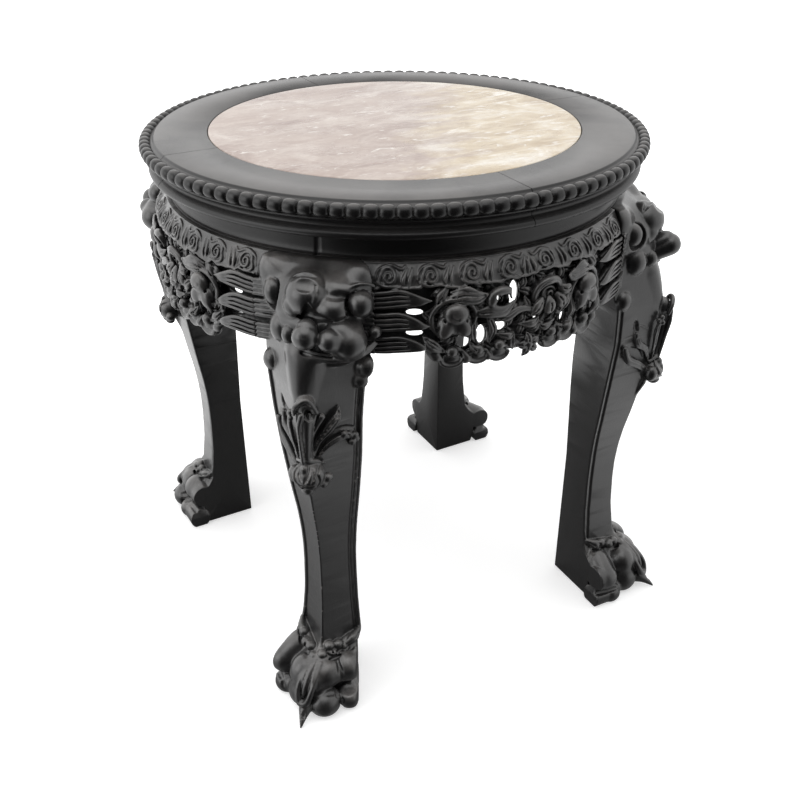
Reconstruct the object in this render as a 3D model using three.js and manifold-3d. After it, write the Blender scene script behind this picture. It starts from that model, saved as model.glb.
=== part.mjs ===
// Marble-top round side table in carved blackened hardwood.
// Millimetres, +Z up, origin on the floor under the centre of the table.
// The legs stand on the diagonals of the frame, the aprons face the X and Y axes.

import * as THREE from 'three';
import { mergeVertices } from 'three/addons/utils/BufferGeometryUtils.js';
import Module from 'manifold-3d';

const wasm = await Module();
wasm.setup();

// Driving dimensions of the top
const HEIGHT = 461;
const TOP_RADIUS = 220;
const GAP = 0.3;
const RING_STEPS = 64;
const MARBLE_RADIUS = 161.7;
const MARBLE_THICKNESS = 12;
const MARBLE_CHAMFER = 0.8;
const LEDGE_INNER_RADIUS = 146;
const FRAME_THICKNESS = 28;
const FRAME_UNDER_RADIUS = 205;

// Waist strips between the ring and the aprons
const WAIST_RADIUS = 196;
const WAIST_DEPTH = 10;
const WAIST_TOP = HEIGHT - FRAME_THICKNESS - GAP;
const WAIST_BOTTOM = 414;

// Hidden battens under the marble and tongues across the ring's joints
const BATTEN_WIDTH = 34;
const BATTEN_HEIGHT = 9;
const BATTEN_REACH = 157;
const TONGUE = { length: 30, width: 26, height: 7, radius: 184 };

// Leg post, tenons and pegs
const LEG_COUNT = 4;
const LEG_INNER_FACE = 115;
const POST = { centre: 123, side: 16, bottom: 400, top: HEIGHT - FRAME_THICKNESS - GAP };
const POST_TENON = { side: 11, height: 11 };
const APRON_TENON = { depth: 16, front: 166, thickness: 8, bottom: 362, top: 402 };
const PEG = { radius: 2.6, sides: 8, inset: 9, start: 117, end: 164, heightA: 392, heightB: 372 };

// Aprons
const APRON_TOP = WAIST_BOTTOM - GAP;
const APRON_THICKNESS = 17;
const APRON_HALF_WIDTH = LEG_INNER_FACE - GAP;
const APRON_STEPS = 48;
const APRON_SPACE = { inner: 184, outer: 217.2 };

const BLACK_WOOD = { color: 0x1d1b1b, roughness: 0.42, metalness: 0 };
const HIDDEN_WOOD = { color: 0x3a2a22, roughness: 0.7, metalness: 0 };
const MARBLE = { color: 0xd9ccc0, roughness: 0.25, metalness: 0 };

// Solids from three.js geometry, and geometry from solids

function solid(geometry) {
  const bare = geometry.index ? geometry : geometry.clone();
  bare.deleteAttribute('normal');
  bare.deleteAttribute('uv');
  const merged = mergeVertices(bare, 1e-4);
  const vertProperties = new Float32Array(merged.attributes.position.array);
  const triVerts = new Uint32Array(merged.index.array);
  return new wasm.Manifold(new wasm.Mesh({ numProp: 3, vertProperties, triVerts }));
}

function geometryOf(manifold) {
  const mesh = manifold.getMesh();
  const geometry = new THREE.BufferGeometry();
  geometry.setAttribute('position', new THREE.BufferAttribute(new Float32Array(mesh.vertProperties), 3));
  geometry.setIndex(new THREE.BufferAttribute(new Uint32Array(mesh.triVerts), 1));
  geometry.computeVertexNormals();
  return geometry;
}

function turnedBy(manifold, angle) {
  return solid(geometryOf(manifold).rotateZ(angle));
}

function box(sizeX, sizeY, sizeZ, x, y, z) {
  return solid(new THREE.BoxGeometry(sizeX, sizeY, sizeZ).translate(x, y, z));
}

// A closed outline of [radius, z] points turned round the Z axis
function turned(outline, steps = RING_STEPS) {
  const points = outline.map(([radius, z]) => new THREE.Vector2(radius, z));
  if (outline[0][0] > 0) {
    points.push(points[0].clone());
  }
  const lathe = new THREE.LatheGeometry(points, steps);
  return solid(lathe.rotateX(Math.PI / 2));
}

function ellipsoid(halfX, halfY, halfZ, x, y, z, aroundSteps = 6, upSteps = 4) {
  const ball = new THREE.SphereGeometry(1, aroundSteps, upSteps).rotateX(Math.PI / 2);
  return solid(ball.scale(halfX, halfY, halfZ).translate(x, y, z));
}

// The wedge of space between two directions, as a prism
function sector(fromAngle, toAngle, reach, bottom, top) {
  const middle = (fromAngle + toAngle) / 2;
  const shape = new THREE.Shape();
  shape.moveTo(0, 0);
  for (const angle of [fromAngle, middle, toAngle]) {
    shape.lineTo(reach * Math.cos(angle), reach * Math.sin(angle));
  }
  const prism = new THREE.ExtrudeGeometry(shape, { depth: top - bottom, bevelEnabled: false });
  return solid(prism.translate(0, 0, bottom));
}

const quarter = Math.PI / 2;

// Ring frame: flat border, beaded edge, cove, lip and the rebate for the marble

function frameOutline() {
  const under = HEIGHT - FRAME_THICKNESS;
  const ledge = HEIGHT - MARBLE_THICKNESS - GAP;
  return [
    [LEDGE_INNER_RADIUS, under],
    [FRAME_UNDER_RADIUS, under],
    [208.6, HEIGHT - 25],
    [208.6, HEIGHT - 21.5],
    [205.6, HEIGHT - 19.5],
    [207.2, HEIGHT - 14.5],
    [213, HEIGHT - 11.5],
    [218, HEIGHT - 9.6],
    [TOP_RADIUS, HEIGHT - 5.6],
    [218, HEIGHT - 1.8],
    [214, HEIGHT - 0.4],
    [207, HEIGHT],
    [MARBLE_RADIUS + GAP, HEIGHT],
    [MARBLE_RADIUS + GAP, ledge],
    [LEDGE_INNER_RADIUS, ledge],
  ];
}

function tongueSpace(angle, clearance) {
  const middle = HEIGHT - FRAME_THICKNESS / 2;
  const tongue = new THREE.BoxGeometry(
    TONGUE.width + 2 * clearance,
    TONGUE.length + 2 * clearance,
    TONGUE.height + 2 * clearance,
  );
  return solid(tongue.translate(TONGUE.radius, 0, middle).rotateZ(angle));
}

// A strip under the marble along X, with its ends let into the ring
function battenSpace(clearance) {
  const ledge = HEIGHT - MARBLE_THICKNESS - GAP;
  return box(
    2 * (BATTEN_REACH + clearance),
    BATTEN_WIDTH + 2 * clearance,
    BATTEN_HEIGHT + 2 * clearance,
    0, 0, ledge - BATTEN_HEIGHT / 2,
  );
}

function topFrameArc() {
  const ring = turned(frameOutline());
  const seam = GAP / 2 / TOP_RADIUS;
  const wedge = sector(seam, quarter - seam, 2 * TOP_RADIUS, 0, HEIGHT + 10);
  const mortise = POST_TENON.side + 2 * GAP;
  const mortiseHeight = 2 * (POST_TENON.height + GAP);
  return ring
    .intersect(wedge)
    .subtract(tongueSpace(0, GAP))
    .subtract(tongueSpace(quarter, GAP))
    .subtract(turnedBy(battenSpace(GAP), quarter / 2))
    .subtract(box(mortise, mortise, mortiseHeight, POST.centre, POST.centre, HEIGHT - FRAME_THICKNESS));
}

// Two equal battens cross under the marble, each notched by half where they meet
function batten(notchOnTop) {
  const ledge = HEIGHT - MARBLE_THICKNESS - GAP;
  const notchWidth = BATTEN_WIDTH + 2 * GAP;
  const notchMiddle = notchOnTop ? ledge : ledge - BATTEN_HEIGHT;
  return battenSpace(0)
    .subtract(box(notchWidth, 2 * BATTEN_WIDTH, BATTEN_HEIGHT + GAP, 0, 0, notchMiddle));
}

// Waist: a plain quarter strip whose ends meet on the legs' diagonals

function waistStrip() {
  const inner = WAIST_RADIUS - WAIST_DEPTH;
  const ring = turned([
    [inner, WAIST_BOTTOM],
    [WAIST_RADIUS + 2, WAIST_BOTTOM],
    [WAIST_RADIUS, WAIST_BOTTOM + 3],
    [WAIST_RADIUS, WAIST_TOP - 4],
    [WAIST_RADIUS + 3, WAIST_TOP],
    [inner, WAIST_TOP],
  ]);
  const seam = GAP / 2 / WAIST_RADIUS;
  return ring.intersect(sector(-quarter / 2 + seam, quarter / 2 - seam, 2 * TOP_RADIUS, 0, HEIGHT));
}

// Apron: a curved panel, pierced between its flowers, with a scalloped lower edge

const APRON_FACE = [
  [200, APRON_TOP],
  [207, APRON_TOP - 6],
  [213, APRON_TOP - 17],
  [211, APRON_TOP - 24],
  [214, APRON_TOP - 40],
  [216, 352],
  [213, 326],
];

function apronPlate() {
  const outline = [...APRON_FACE].reverse();
  const back = APRON_FACE.map(([radius, z]) => [radius - APRON_THICKNESS, z]);
  return turned([...outline, ...back], APRON_STEPS);
}

// Half of the lower edge from the leg to the middle, as [y, z]
const LOWER_EDGE = [
  [APRON_HALF_WIDTH, 345],
  [98, 347],
  [86, 343],
  [76, 336],
  [66, 326],
  [55, 327],
  [50, 334],
  [40, 327],
  [25, 327],
  [18, 331],
  [8, 326],
];

function apronOutline() {
  const shape = new THREE.Shape();
  const left = LOWER_EDGE.map(([y, z]) => new THREE.Vector2(-y, z));
  const right = LOWER_EDGE.map(([y, z]) => new THREE.Vector2(y, z)).reverse();
  shape.setFromPoints([
    new THREE.Vector2(-APRON_HALF_WIDTH, APRON_TOP + 1),
    ...left,
    ...right,
    new THREE.Vector2(APRON_HALF_WIDTH, APRON_TOP + 1),
  ]);
  return shape;
}

// Openings between the carved stems, as [y, z, half width, half height]
const OPENINGS = [
  [88, 376, 4.5, 2],
  [88, 359, 4.5, 2],
  [53, 349, 3.5, 3],
  [37, 355, 2.5, 6.5],
  [24, 358, 3.5, 2.8],
  [24, 381, 3, 7],
];

function openingShape(y, z, halfWidth, halfHeight) {
  const shape = new THREE.Shape();
  shape.absellipse(y, z, halfWidth, halfHeight, 0, 2 * Math.PI);
  return shape;
}

// A drawing in the YZ plane, extruded along X
function acrossX(shape, depth, curveSegments) {
  const prism = new THREE.ExtrudeGeometry(shape, { depth, bevelEnabled: false, curveSegments });
  return solid(prism.rotateX(quarter).rotateZ(quarter));
}

// Flowers and buds on the apron's face, as [y, z, half size, height]
const RELIEF = [
  [59, 370, 17, 9],
  [44, 391, 9, 6],
  [61, 335, 8, 6],
  [34, 336, 8, 6],
  [3, 378, 17, 9],
  [4, 338, 11, 7],
];

function apronRelief() {
  const lumps = [];
  for (const [y, z, size, height] of RELIEF) {
    for (const side of y < 10 ? [1] : [1, -1]) {
      const reach = Math.sqrt(214 ** 2 - y ** 2) - 3;
      const turn = Math.asin((side * y) / 214);
      const lump = new THREE.SphereGeometry(1, 6, 4).rotateZ(quarter);
      lump.scale(height, size, size).rotateZ(turn).translate(reach, side * y, z);
      lumps.push(solid(lump));
    }
  }
  return lumps;
}

function apronTenon(side, clearance) {
  const depth = APRON_TENON.depth + clearance;
  const root = 2;
  return box(
    APRON_TENON.thickness + 2 * clearance,
    depth + root,
    APRON_TENON.top - APRON_TENON.bottom + 2 * clearance,
    APRON_TENON.front - APRON_TENON.thickness / 2,
    side * (APRON_HALF_WIDTH + (depth - root) / 2),
    (APRON_TENON.top + APRON_TENON.bottom) / 2,
  );
}

function apron() {
  let panel = apronPlate().intersect(acrossX(apronOutline(), 2 * TOP_RADIUS, 8));
  for (const lump of apronRelief()) {
    panel = panel.add(lump);
  }
  for (const [y, z, halfWidth, halfHeight] of OPENINGS) {
    for (const side of [1, -1]) {
      panel = panel.subtract(acrossX(openingShape(side * y, z, halfWidth, halfHeight), 2 * TOP_RADIUS, 3));
    }
  }
  for (const side of [1, -1]) {
    panel = panel.add(apronTenon(side, 0)).subtract(pegHole(side, GAP));
  }
  return panel;
}

// Peg from the leg's inner face through the tenon, seen from the apron that faces +X
function pegHole(side, clearance) {
  const { radius, sides, start, end, inset } = PEG;
  const length = end - start + 2 * clearance;
  const pin = new THREE.CylinderGeometry(radius + clearance, radius + clearance, length, sides);
  const z = side > 0 ? PEG.heightA : PEG.heightB;
  return solid(pin.rotateZ(quarter).translate((start + end) / 2, side * (APRON_HALF_WIDTH + inset), z));
}

// Leg on the diagonal between +X and +Y. Its section is a square with faces along X and Y.
// Each level gives the height, the outer face, the flat cut off the outer corner and the inner face.
const LEG_LEVELS = [
  [0, 176, 14, 128],
  [30, 173, 10, 124],
  [44, 166, 6, 122],
  [50, 171.5, 4, 122],
  [58, 171.5, 4, 122],
  [66, 166, 3, 122],
  [95, 162.8, 3, 122],
  [139, 161.8, 3, 122],
  [180, 165.3, 3, 122],
  [212, 170.3, 3, 123],
  [253, 175.5, 3, 126.5],
  [290, 178, 4, 128],
  [325, 178, 8, 124],
  [345, 176, 10, LEG_INNER_FACE],
  [378, 174, 14, LEG_INNER_FACE],
  [396, 172, 18, LEG_INNER_FACE],
  [406, 170, 28, LEG_INNER_FACE],
  [413.2, 167, 44, LEG_INNER_FACE],
];

function legRing([z, outer, cut, inner]) {
  const soft = 2;
  const points = [
    [inner + soft, inner],
    [outer - soft, inner],
    [outer, inner + soft],
    [outer, outer - cut],
    [outer - cut, outer],
    [inner + soft, outer],
    [inner, outer - soft],
    [inner, inner + soft],
  ];
  return points.map(([x, y]) => new THREE.Vector3(x, y, z));
}

function loft(rings) {
  const sides = rings[0].length;
  const positions = rings.flat().flatMap((point) => [point.x, point.y, point.z]);
  const index = [];
  for (let level = 0; level < rings.length - 1; level += 1) {
    for (let side = 0; side < sides; side += 1) {
      const a = level * sides + side;
      const b = level * sides + (side + 1) % sides;
      index.push(a, b, b + sides, a, b + sides, a + sides);
    }
  }
  const last = (rings.length - 1) * sides;
  for (let side = 1; side < sides - 1; side += 1) {
    index.push(0, side + 1, side);
    index.push(last, last + side, last + side + 1);
  }
  const geometry = new THREE.BufferGeometry();
  geometry.setAttribute('position', new THREE.Float32BufferAttribute(positions, 3));
  geometry.setIndex(index);
  return solid(geometry);
}

// Beast mask: nose, eyes, cheeks, lips and the knobs beside the knee.
// Each lump is [u, v, z, half u, half v, half z].
const MASK = [
  [230, 8, 394, 15, 19, 15],
  [212, -28, 392, 13, 9, 9],
  [212, 31, 394, 13, 9, 9],
  [230, -12, 374, 18, 12, 13],
  [242, 5, 372, 15, 10, 11],
  [240, 19, 368, 13, 8, 9],
  [228, 32, 373, 16, 13, 15],
  [214, -33, 338, 9, 8, 10],
  [214, 36, 337, 10, 10, 12],
];

// Leaf spray and the hanging blossom below it
const SPRAY = [
  [251, 1, 312, 12, 10, 14],
  [238, -15, 303, 11, 7, 19],
  [238, 16, 303, 11, 7, 19],
  [247, 3, 284, 10, 10, 26],
  [248, 5, 250, 15, 14, 15],
];

// Paw: knuckles and toes
const PAW = [
  [248, 0, 30, 17, 12, 14],
  [257, 0, 11, 18, 11, 13],
  [237, -22, 13, 22, 13, 15],
  [237, 22, 13, 22, 13, 15],
  [214, -33, 27, 12, 13, 13],
  [214, 33, 27, 12, 13, 13],
  [218, -37, 9, 15, 13, 11],
  [218, 37, 9, 15, 13, 11],
];

function leg() {
  const tenonTop = HEIGHT - FRAME_THICKNESS + POST_TENON.height;
  let body = loft(LEG_LEVELS.map(legRing))
    .add(upright(POST.side, POST.bottom, POST.top))
    .add(upright(POST_TENON.side, POST.bottom, tenonTop));
  for (const [u, v, z, halfU, halfV, halfZ] of [...MASK, ...SPRAY, ...PAW]) {
    const lump = ellipsoid(halfU, halfV, halfZ, u, v, z);
    body = body.add(turnedBy(lump, quarter / 2));
  }
  return cutForAprons(body.intersect(box(3 * TOP_RADIUS, 3 * TOP_RADIUS, HEIGHT, 0, 0, HEIGHT / 2)));
}

function upright(side, bottom, top) {
  return box(side, side, top - bottom, POST.centre, POST.centre, (bottom + top) / 2);
}

// Room for both aprons, their tenons and their pegs
function cutForAprons(body) {
  let cut = body;
  for (const side of [1, -1]) {
    const turn = side > 0 ? 0 : quarter;
    for (const piece of [apronTenon(side, GAP), pegHole(side, GAP), apronEnd(side)]) {
      cut = cut.subtract(turnedBy(piece, turn));
    }
  }
  return cut;
}

// The apron's end butts against the leg's inner face, under what the mask overhangs
function apronEnd(side) {
  const width = 60;
  const { inner, outer } = APRON_SPACE;
  const y = side * (LEG_INNER_FACE - width / 2);
  const bottom = LOWER_EDGE[0][1] - 2;
  return box(140, width, HEIGHT - bottom, 150, y, (HEIGHT + bottom) / 2)
    .intersect(turned([[inner, bottom - 10], [outer, bottom - 10], [outer, HEIGHT + 10], [inner, HEIGHT + 10]]));
}

// Assembly

const table = new THREE.Group();

function place(name, piece, look, turn = 0) {
  const mesh = new THREE.Mesh(geometryOf(piece), new THREE.MeshStandardMaterial(look));
  mesh.name = name;
  mesh.rotation.z = turn;
  table.add(mesh);
}

function marbleTop() {
  const bottom = HEIGHT - MARBLE_THICKNESS;
  return turned([
    [0, bottom],
    [MARBLE_RADIUS, bottom],
    [MARBLE_RADIUS, HEIGHT - MARBLE_CHAMFER],
    [MARBLE_RADIUS - MARBLE_CHAMFER, HEIGHT],
    [0, HEIGHT],
  ]);
}

place('marble_top', marbleTop(), MARBLE);
place('cross_batten_1', batten(true), HIDDEN_WOOD, quarter / 2);
place('cross_batten_2', batten(false), HIDDEN_WOOD, -quarter / 2);

const frameArc = topFrameArc();
const tongue = tongueSpace(0, 0);
const waist = waistStrip();
const apronPanel = apron();
const legPiece = leg();
for (let index = 0; index < LEG_COUNT; index += 1) {
  const turn = index * quarter;
  place(`top_frame_${index + 1}`, frameArc, BLACK_WOOD, turn);
  place(`frame_tongue_${index + 1}`, tongue, HIDDEN_WOOD, turn);
  place(`waist_${index + 1}`, waist, BLACK_WOOD, turn);
  place(`apron_${index + 1}`, apronPanel, BLACK_WOOD, turn);
  place(`leg_${index + 1}`, legPiece, BLACK_WOOD, turn);
  place(`apron_peg_${2 * index + 1}`, pegHole(1, 0), HIDDEN_WOOD, turn);
  place(`apron_peg_${2 * index + 2}`, pegHole(-1, 0), HIDDEN_WOOD, turn);
}

export default table;
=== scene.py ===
import math

import bpy
import numpy as np
import openvdb
from mathutils import Euler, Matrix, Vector


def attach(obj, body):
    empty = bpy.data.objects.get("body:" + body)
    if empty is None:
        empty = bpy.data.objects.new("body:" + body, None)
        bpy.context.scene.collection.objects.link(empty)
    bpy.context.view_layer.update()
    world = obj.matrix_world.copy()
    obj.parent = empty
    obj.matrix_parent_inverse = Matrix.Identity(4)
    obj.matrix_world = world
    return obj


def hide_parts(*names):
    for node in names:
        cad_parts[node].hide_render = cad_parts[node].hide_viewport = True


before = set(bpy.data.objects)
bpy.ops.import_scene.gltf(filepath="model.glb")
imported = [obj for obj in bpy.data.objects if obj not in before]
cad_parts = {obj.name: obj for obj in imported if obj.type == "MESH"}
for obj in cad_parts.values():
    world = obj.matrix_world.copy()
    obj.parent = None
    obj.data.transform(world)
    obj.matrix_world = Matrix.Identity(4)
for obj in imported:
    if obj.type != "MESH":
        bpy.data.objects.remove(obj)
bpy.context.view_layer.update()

MM = 0.001
HEIGHT = 461.0
TOP_RADIUS = 220.0
MARBLE_RADIUS = 161.7
QUARTER = math.pi / 2

# Camera at the photograph's viewing angle
CAMERA_PLACE = (-0.3961, -0.7413, 0.6781)
CAMERA_TURN_DEG = (59.212, 0.143, -28.473)
CAMERA_LENS = 42.73
SENSOR_WIDTH = 36.0

scene = bpy.context.scene


def add_camera():
    data = bpy.data.cameras.new("camera")
    data.lens = CAMERA_LENS
    data.sensor_width = SENSOR_WIDTH
    data.clip_start = 0.01
    data.clip_end = 100
    camera = bpy.data.objects.new("camera", data)
    camera.location = CAMERA_PLACE
    camera.rotation_euler = Euler([math.radians(a) for a in CAMERA_TURN_DEG], "XYZ")
    scene.collection.objects.link(camera)
    scene.camera = camera


add_camera()


# Node trees and materials

class Nodes:
    """Short names for building one node tree."""

    def __init__(self, owner):
        owner.use_nodes = True
        self.tree = owner.node_tree

    def fill(self, node, inputs):
        """Sets or links a node's inputs, which are given by name or number."""
        for name, value in inputs.items():
            if isinstance(value, bpy.types.NodeSocket):
                self.tree.links.new(value, node.inputs[name])
            else:
                node.inputs[name].default_value = value

    def add(self, kind, inputs, **settings):
        node = self.tree.nodes.new("ShaderNode" + kind)
        for name, value in settings.items():
            setattr(node, name, value)
        self.fill(node, inputs)
        return node

    def math(self, operation, *values):
        return self.add("Math", dict(enumerate(values)), operation=operation).outputs["Value"]

    def vector(self, operation, *values):
        node = self.add("VectorMath", dict(enumerate(values)), operation=operation)
        return node.outputs["Value" if operation in ("LENGTH", "DOT_PRODUCT") else "Vector"]

    def value_range(self, value, low, high, to_low, to_high, eased=False):
        limits = {"Value": value, "From Min": low, "From Max": high, "To Min": to_low, "To Max": to_high}
        kind = "SMOOTHSTEP" if eased else "LINEAR"
        return self.add("MapRange", limits, interpolation_type=kind).outputs["Result"]

    def split_view(self, output, others, camera):
        """One shader for what the camera sees and another for all other rays."""
        rays = self.add("LightPath", {}).outputs["Is Camera Ray"]
        mix = self.add("MixShader", {"Fac": rays, 1: others, 2: camera})
        self.fill(self.tree.nodes[output], {"Surface": mix.outputs["Shader"]})


class Paint(Nodes):
    """A material's nodes round its Principled shader."""

    def __init__(self, name):
        self.material = bpy.data.materials.new(name)
        super().__init__(self.material)
        self.shader = self.tree.nodes["Principled BSDF"]
        self.coordinates = self.add("TexCoord", {}).outputs["Object"]

    def noise(self, vector, scale, detail, roughness, distortion=0.0):
        values = {"Scale": scale, "Detail": detail, "Roughness": roughness, "Distortion": distortion}
        return self.add("TexNoise", {"Vector": vector, **values}).outputs["Fac"]

    def stretched(self, stretch, scale, detail, roughness, distortion=0.0, turn=0.0):
        """Noise in a space that is stretched by its own amount on each axis and turned about Z."""
        mapping = {"Vector": self.coordinates, "Scale": stretch, "Rotation": (0, 0, turn)}
        vector = self.add("Mapping", mapping).outputs["Vector"]
        return self.noise(vector, scale, detail, roughness, distortion)

    def ramp(self, fac, stops):
        node = self.add("ValToRGB", {"Fac": fac})
        elements = node.color_ramp.elements
        while len(elements) < len(stops):
            elements.new(0.5)
        for element, (place, colour) in zip(elements, stops):
            element.position = place
            element.color = (*colour, 1)
        return node.outputs["Color"]

    def mix(self, fac, first, second):
        colours = [(*value, 1) if isinstance(value, tuple) else value for value in (first, second)]
        return self.add("Mix", {0: fac, 6: colours[0], 7: colours[1]}, data_type="RGBA").outputs[2]

    def bump(self, height, strength, distance):
        node = self.add("Bump", {"Height": height, "Strength": strength, "Distance": distance})
        self.set("Normal", node.outputs["Normal"])

    def set(self, name, value):
        self.fill(self.shader, {name: value})


LACQUER_DARK = (0.0030, 0.0028, 0.0030)
LACQUER_LIGHT = (0.0095, 0.0088, 0.0090)
# Grey of rubbed wear and dust, also used as painted highlight on ridges and painted top light on upward
# faces.
GREY_OF_WEAR_AND_PAINTED_LIGHT = (0.175, 0.165, 0.158)
COAT_ROUGHNESS = 0.19
HOLLOW_REACH = 0.015


def black_wood(name, grain, wear_and_light_strength, scuffed, tops, rough, gloss, lacquer, bump):
    """Black lacquer over hardwood: faint grain; grey on ridges and tops, partly wear and dust, partly
    painted highlight and painted top light; hollows rougher and kept dark as painted shade.
    """
    n = Paint(name)
    fine = n.stretched(grain, 60, 6, 0.6)
    cloud = n.noise(n.coordinates, 14, 3, 0.5)
    base = n.ramp(fine, [(0.3, LACQUER_DARK), (0.75, LACQUER_LIGHT)])
    geometry = n.add("NewGeometry", {}).outputs
    upward = n.add("SeparateXYZ", {"Vector": geometry["Normal"]}).outputs["Z"]
    hollow = n.add("AmbientOcclusion", {"Distance": HOLLOW_REACH}, samples=6).outputs["AO"]
    # Painted shade: the grey is kept out of enclosed hollows, so they render darker; hollows are also made
    # rougher.
    open_air = n.value_range(hollow, 0.32, 0.90, 0.0, 1.0)
    ridges = n.value_range(geometry["Pointiness"], 0.505, 0.58, 0.0, 1.0)
    # Painted light: ridges and upward faces get the grey, partly as wear and dust, partly as painted
    # highlight and painted top light.
    raised = n.math("MAXIMUM", ridges, n.value_range(upward, *tops, 0.0, 0.9))
    wear_and_painted_light = n.math("MULTIPLY", raised, n.value_range(cloud, 0.38, 0.62, 0.15, wear_and_light_strength))
    scuffs = n.noise(n.coordinates, 62, 6, 0.68, 0.6)
    scuff_share = n.value_range(scuffs, 0.36, 0.62, 1.0 - scuffed, 1.0 + 0.35 * scuffed)
    # The grey share is lowered in hollows, which is painted shade.
    wear_painted_light_and_shade = n.math("MULTIPLY", n.math("MULTIPLY", wear_and_painted_light, scuff_share), open_air)
    n.set("Base Color", n.mix(wear_painted_light_and_shade, base, GREY_OF_WEAR_AND_PAINTED_LIGHT))
    patchy = n.value_range(n.math("ADD", fine, cloud), 0.7, 1.3, *rough)
    n.set("Roughness", n.math("ADD", patchy, n.value_range(open_air, 0.0, 1.0, 0.25, 0.0)))
    n.set("Specular IOR Level", gloss)
    n.set("Coat Weight", lacquer)
    n.set("Coat Roughness", COAT_ROUGHNESS)
    speckle = n.noise(n.coordinates, 420, 3, 0.6)
    relief = n.math("ADD", n.math("MULTIPLY", fine, 0.6), n.math("MULTIPLY", speckle, 0.4))
    n.bump(relief, bump, 0.6 * MM)
    return n.material


def bare_wood():
    n = Paint("bare_wood")
    fine = n.stretched((12, 90, 90), 6, 6, 0.65, 0.3)
    n.set("Base Color", n.ramp(fine, [(0.3, (0.10, 0.045, 0.025)), (0.7, (0.24, 0.125, 0.07))]))
    n.set("Roughness", n.value_range(fine, 0.3, 0.7, 0.55, 0.75))
    n.bump(fine, 0.2, 0.5 * MM)
    return n.material


MARBLE_TURN = math.radians(28)
TAUPE = ((0.32, (0.262, 0.190, 0.164)), (0.44, (0.345, 0.268, 0.234)),
         (0.54, (0.425, 0.352, 0.312)), (0.66, (0.555, 0.490, 0.440)))
CREAM = ((0.36, (0.430, 0.335, 0.215)), (0.52, (0.590, 0.500, 0.360)), (0.66, (0.720, 0.680, 0.600)))
PALE_WISP = (0.545, 0.485, 0.430)
DARK_WISP = (0.275, 0.200, 0.172)
BROAD_TINT = (0.440, 0.352, 0.306)
FLECK = (0.720, 0.690, 0.640)
SHRED = (0.800, 0.775, 0.730)
VEIN = (0.250, 0.178, 0.150)


def cream_patch(n):
    """How much of the cream patch lies at a place: it fades in across the disc with a ragged edge."""
    place = n.add("SeparateXYZ", {"Vector": n.coordinates}).outputs
    wobble = n.stretched((9, 22, 10), 1.7, 6, 0.6, 0.9, MARBLE_TURN)
    across = n.math("ADD", n.math("MULTIPLY", place["X"], 0.88), n.math("MULTIPLY", place["Y"], -0.47))
    ragged = n.math("ADD", across, n.math("MULTIPLY", wobble, 0.16))
    return n.value_range(ragged, 0.088, 0.150, 0.0, 0.9)


def marble():
    """Pinkish taupe marble: clouds, fine wisps, pale flecks and one cream patch."""
    n = Paint("marble")
    clouds = n.stretched((11, 19, 15), 1.6, 9, 0.60, 0.9, MARBLE_TURN)
    wisps = n.stretched((30, 74, 50), 2.2, 8, 0.72, 2.2, MARBLE_TURN)
    broad = n.stretched((5, 9, 8), 1.8, 5, 0.55, 0.6, MARBLE_TURN)
    flecks = n.stretched((16, 44, 30), 3.0, 5, 0.6, 1.2, MARBLE_TURN)
    shreds = n.stretched((9, 24, 12), 2.4, 7, 0.66, 1.6, MARBLE_TURN)
    veins = n.stretched((12, 40, 30), 2.2, 8, 0.66, 1.8, MARBLE_TURN)
    ground = n.mix(n.value_range(wisps, 0.50, 0.66, 0.0, 0.65), n.ramp(clouds, TAUPE), PALE_WISP)
    ground = n.mix(n.value_range(wisps, 0.46, 0.32, 0.0, 0.60), ground, DARK_WISP)
    ground = n.mix(n.value_range(broad, 0.40, 0.62, 0.0, 0.45), ground, BROAD_TINT)
    patch = cream_patch(n)
    colour = n.mix(patch, ground, n.ramp(clouds, CREAM))
    colour = n.mix(n.value_range(flecks, 0.61, 0.70, 0.0, 0.9), colour, FLECK)
    colour = n.mix(n.math("MULTIPLY", n.value_range(shreds, 0.56, 0.66, 0.0, 0.9), patch), colour, SHRED)
    from_vein = n.math("ABSOLUTE", n.math("SUBTRACT", veins, 0.5))
    colour = n.mix(n.value_range(from_vein, 0.0, 0.016, 0.4, 0.0), colour, VEIN)
    n.set("Base Color", colour)
    n.set("Roughness", n.value_range(broad, 0.3, 0.7, 0.22, 0.34))
    n.bump(clouds, 0.05, 0.3 * MM)
    return n.material


# The tops range sets which upward faces turn grey: painted top light, with some dust; ridges get painted
# highlight and wear.
TURNED = black_wood("turned_wood", grain=(30, 30, 30), wear_and_light_strength=0.62, scuffed=0.12, tops=(0.72, 1.0),
                    rough=(0.24, 0.34), gloss=0.40, lacquer=0.05, bump=0.16)
CARVED = black_wood("carved_wood", grain=(18, 18, 4), wear_and_light_strength=0.98, scuffed=0.60, tops=(0.24, 0.95),
                    rough=(0.32, 0.48), gloss=0.55, lacquer=0.75, bump=0.22)
BARE = bare_wood()
MARBLE = marble()


# Meshes

def mesh_object(name, points, faces, material):
    mesh = bpy.data.meshes.new(name)
    mesh.from_pydata([tuple(p) for p in points], [], [tuple(f) for f in faces])
    mesh.validate()
    mesh.materials.append(material)
    mesh.polygons.foreach_set("use_smooth", [True] * len(mesh.polygons))
    piece = bpy.data.objects.new(name, mesh)
    scene.collection.objects.link(piece)
    return piece


def turned_copy(piece, name, angle):
    copy = piece if angle == 0 else bpy.data.objects.new(name, piece.data)
    copy.name = name
    if angle != 0:
        scene.collection.objects.link(copy)
    copy.rotation_euler = (0, 0, angle)
    return copy


def finish_piece(piece, slot, *nodes):
    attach(piece, "root")
    if nodes:
        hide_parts(*nodes)


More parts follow.
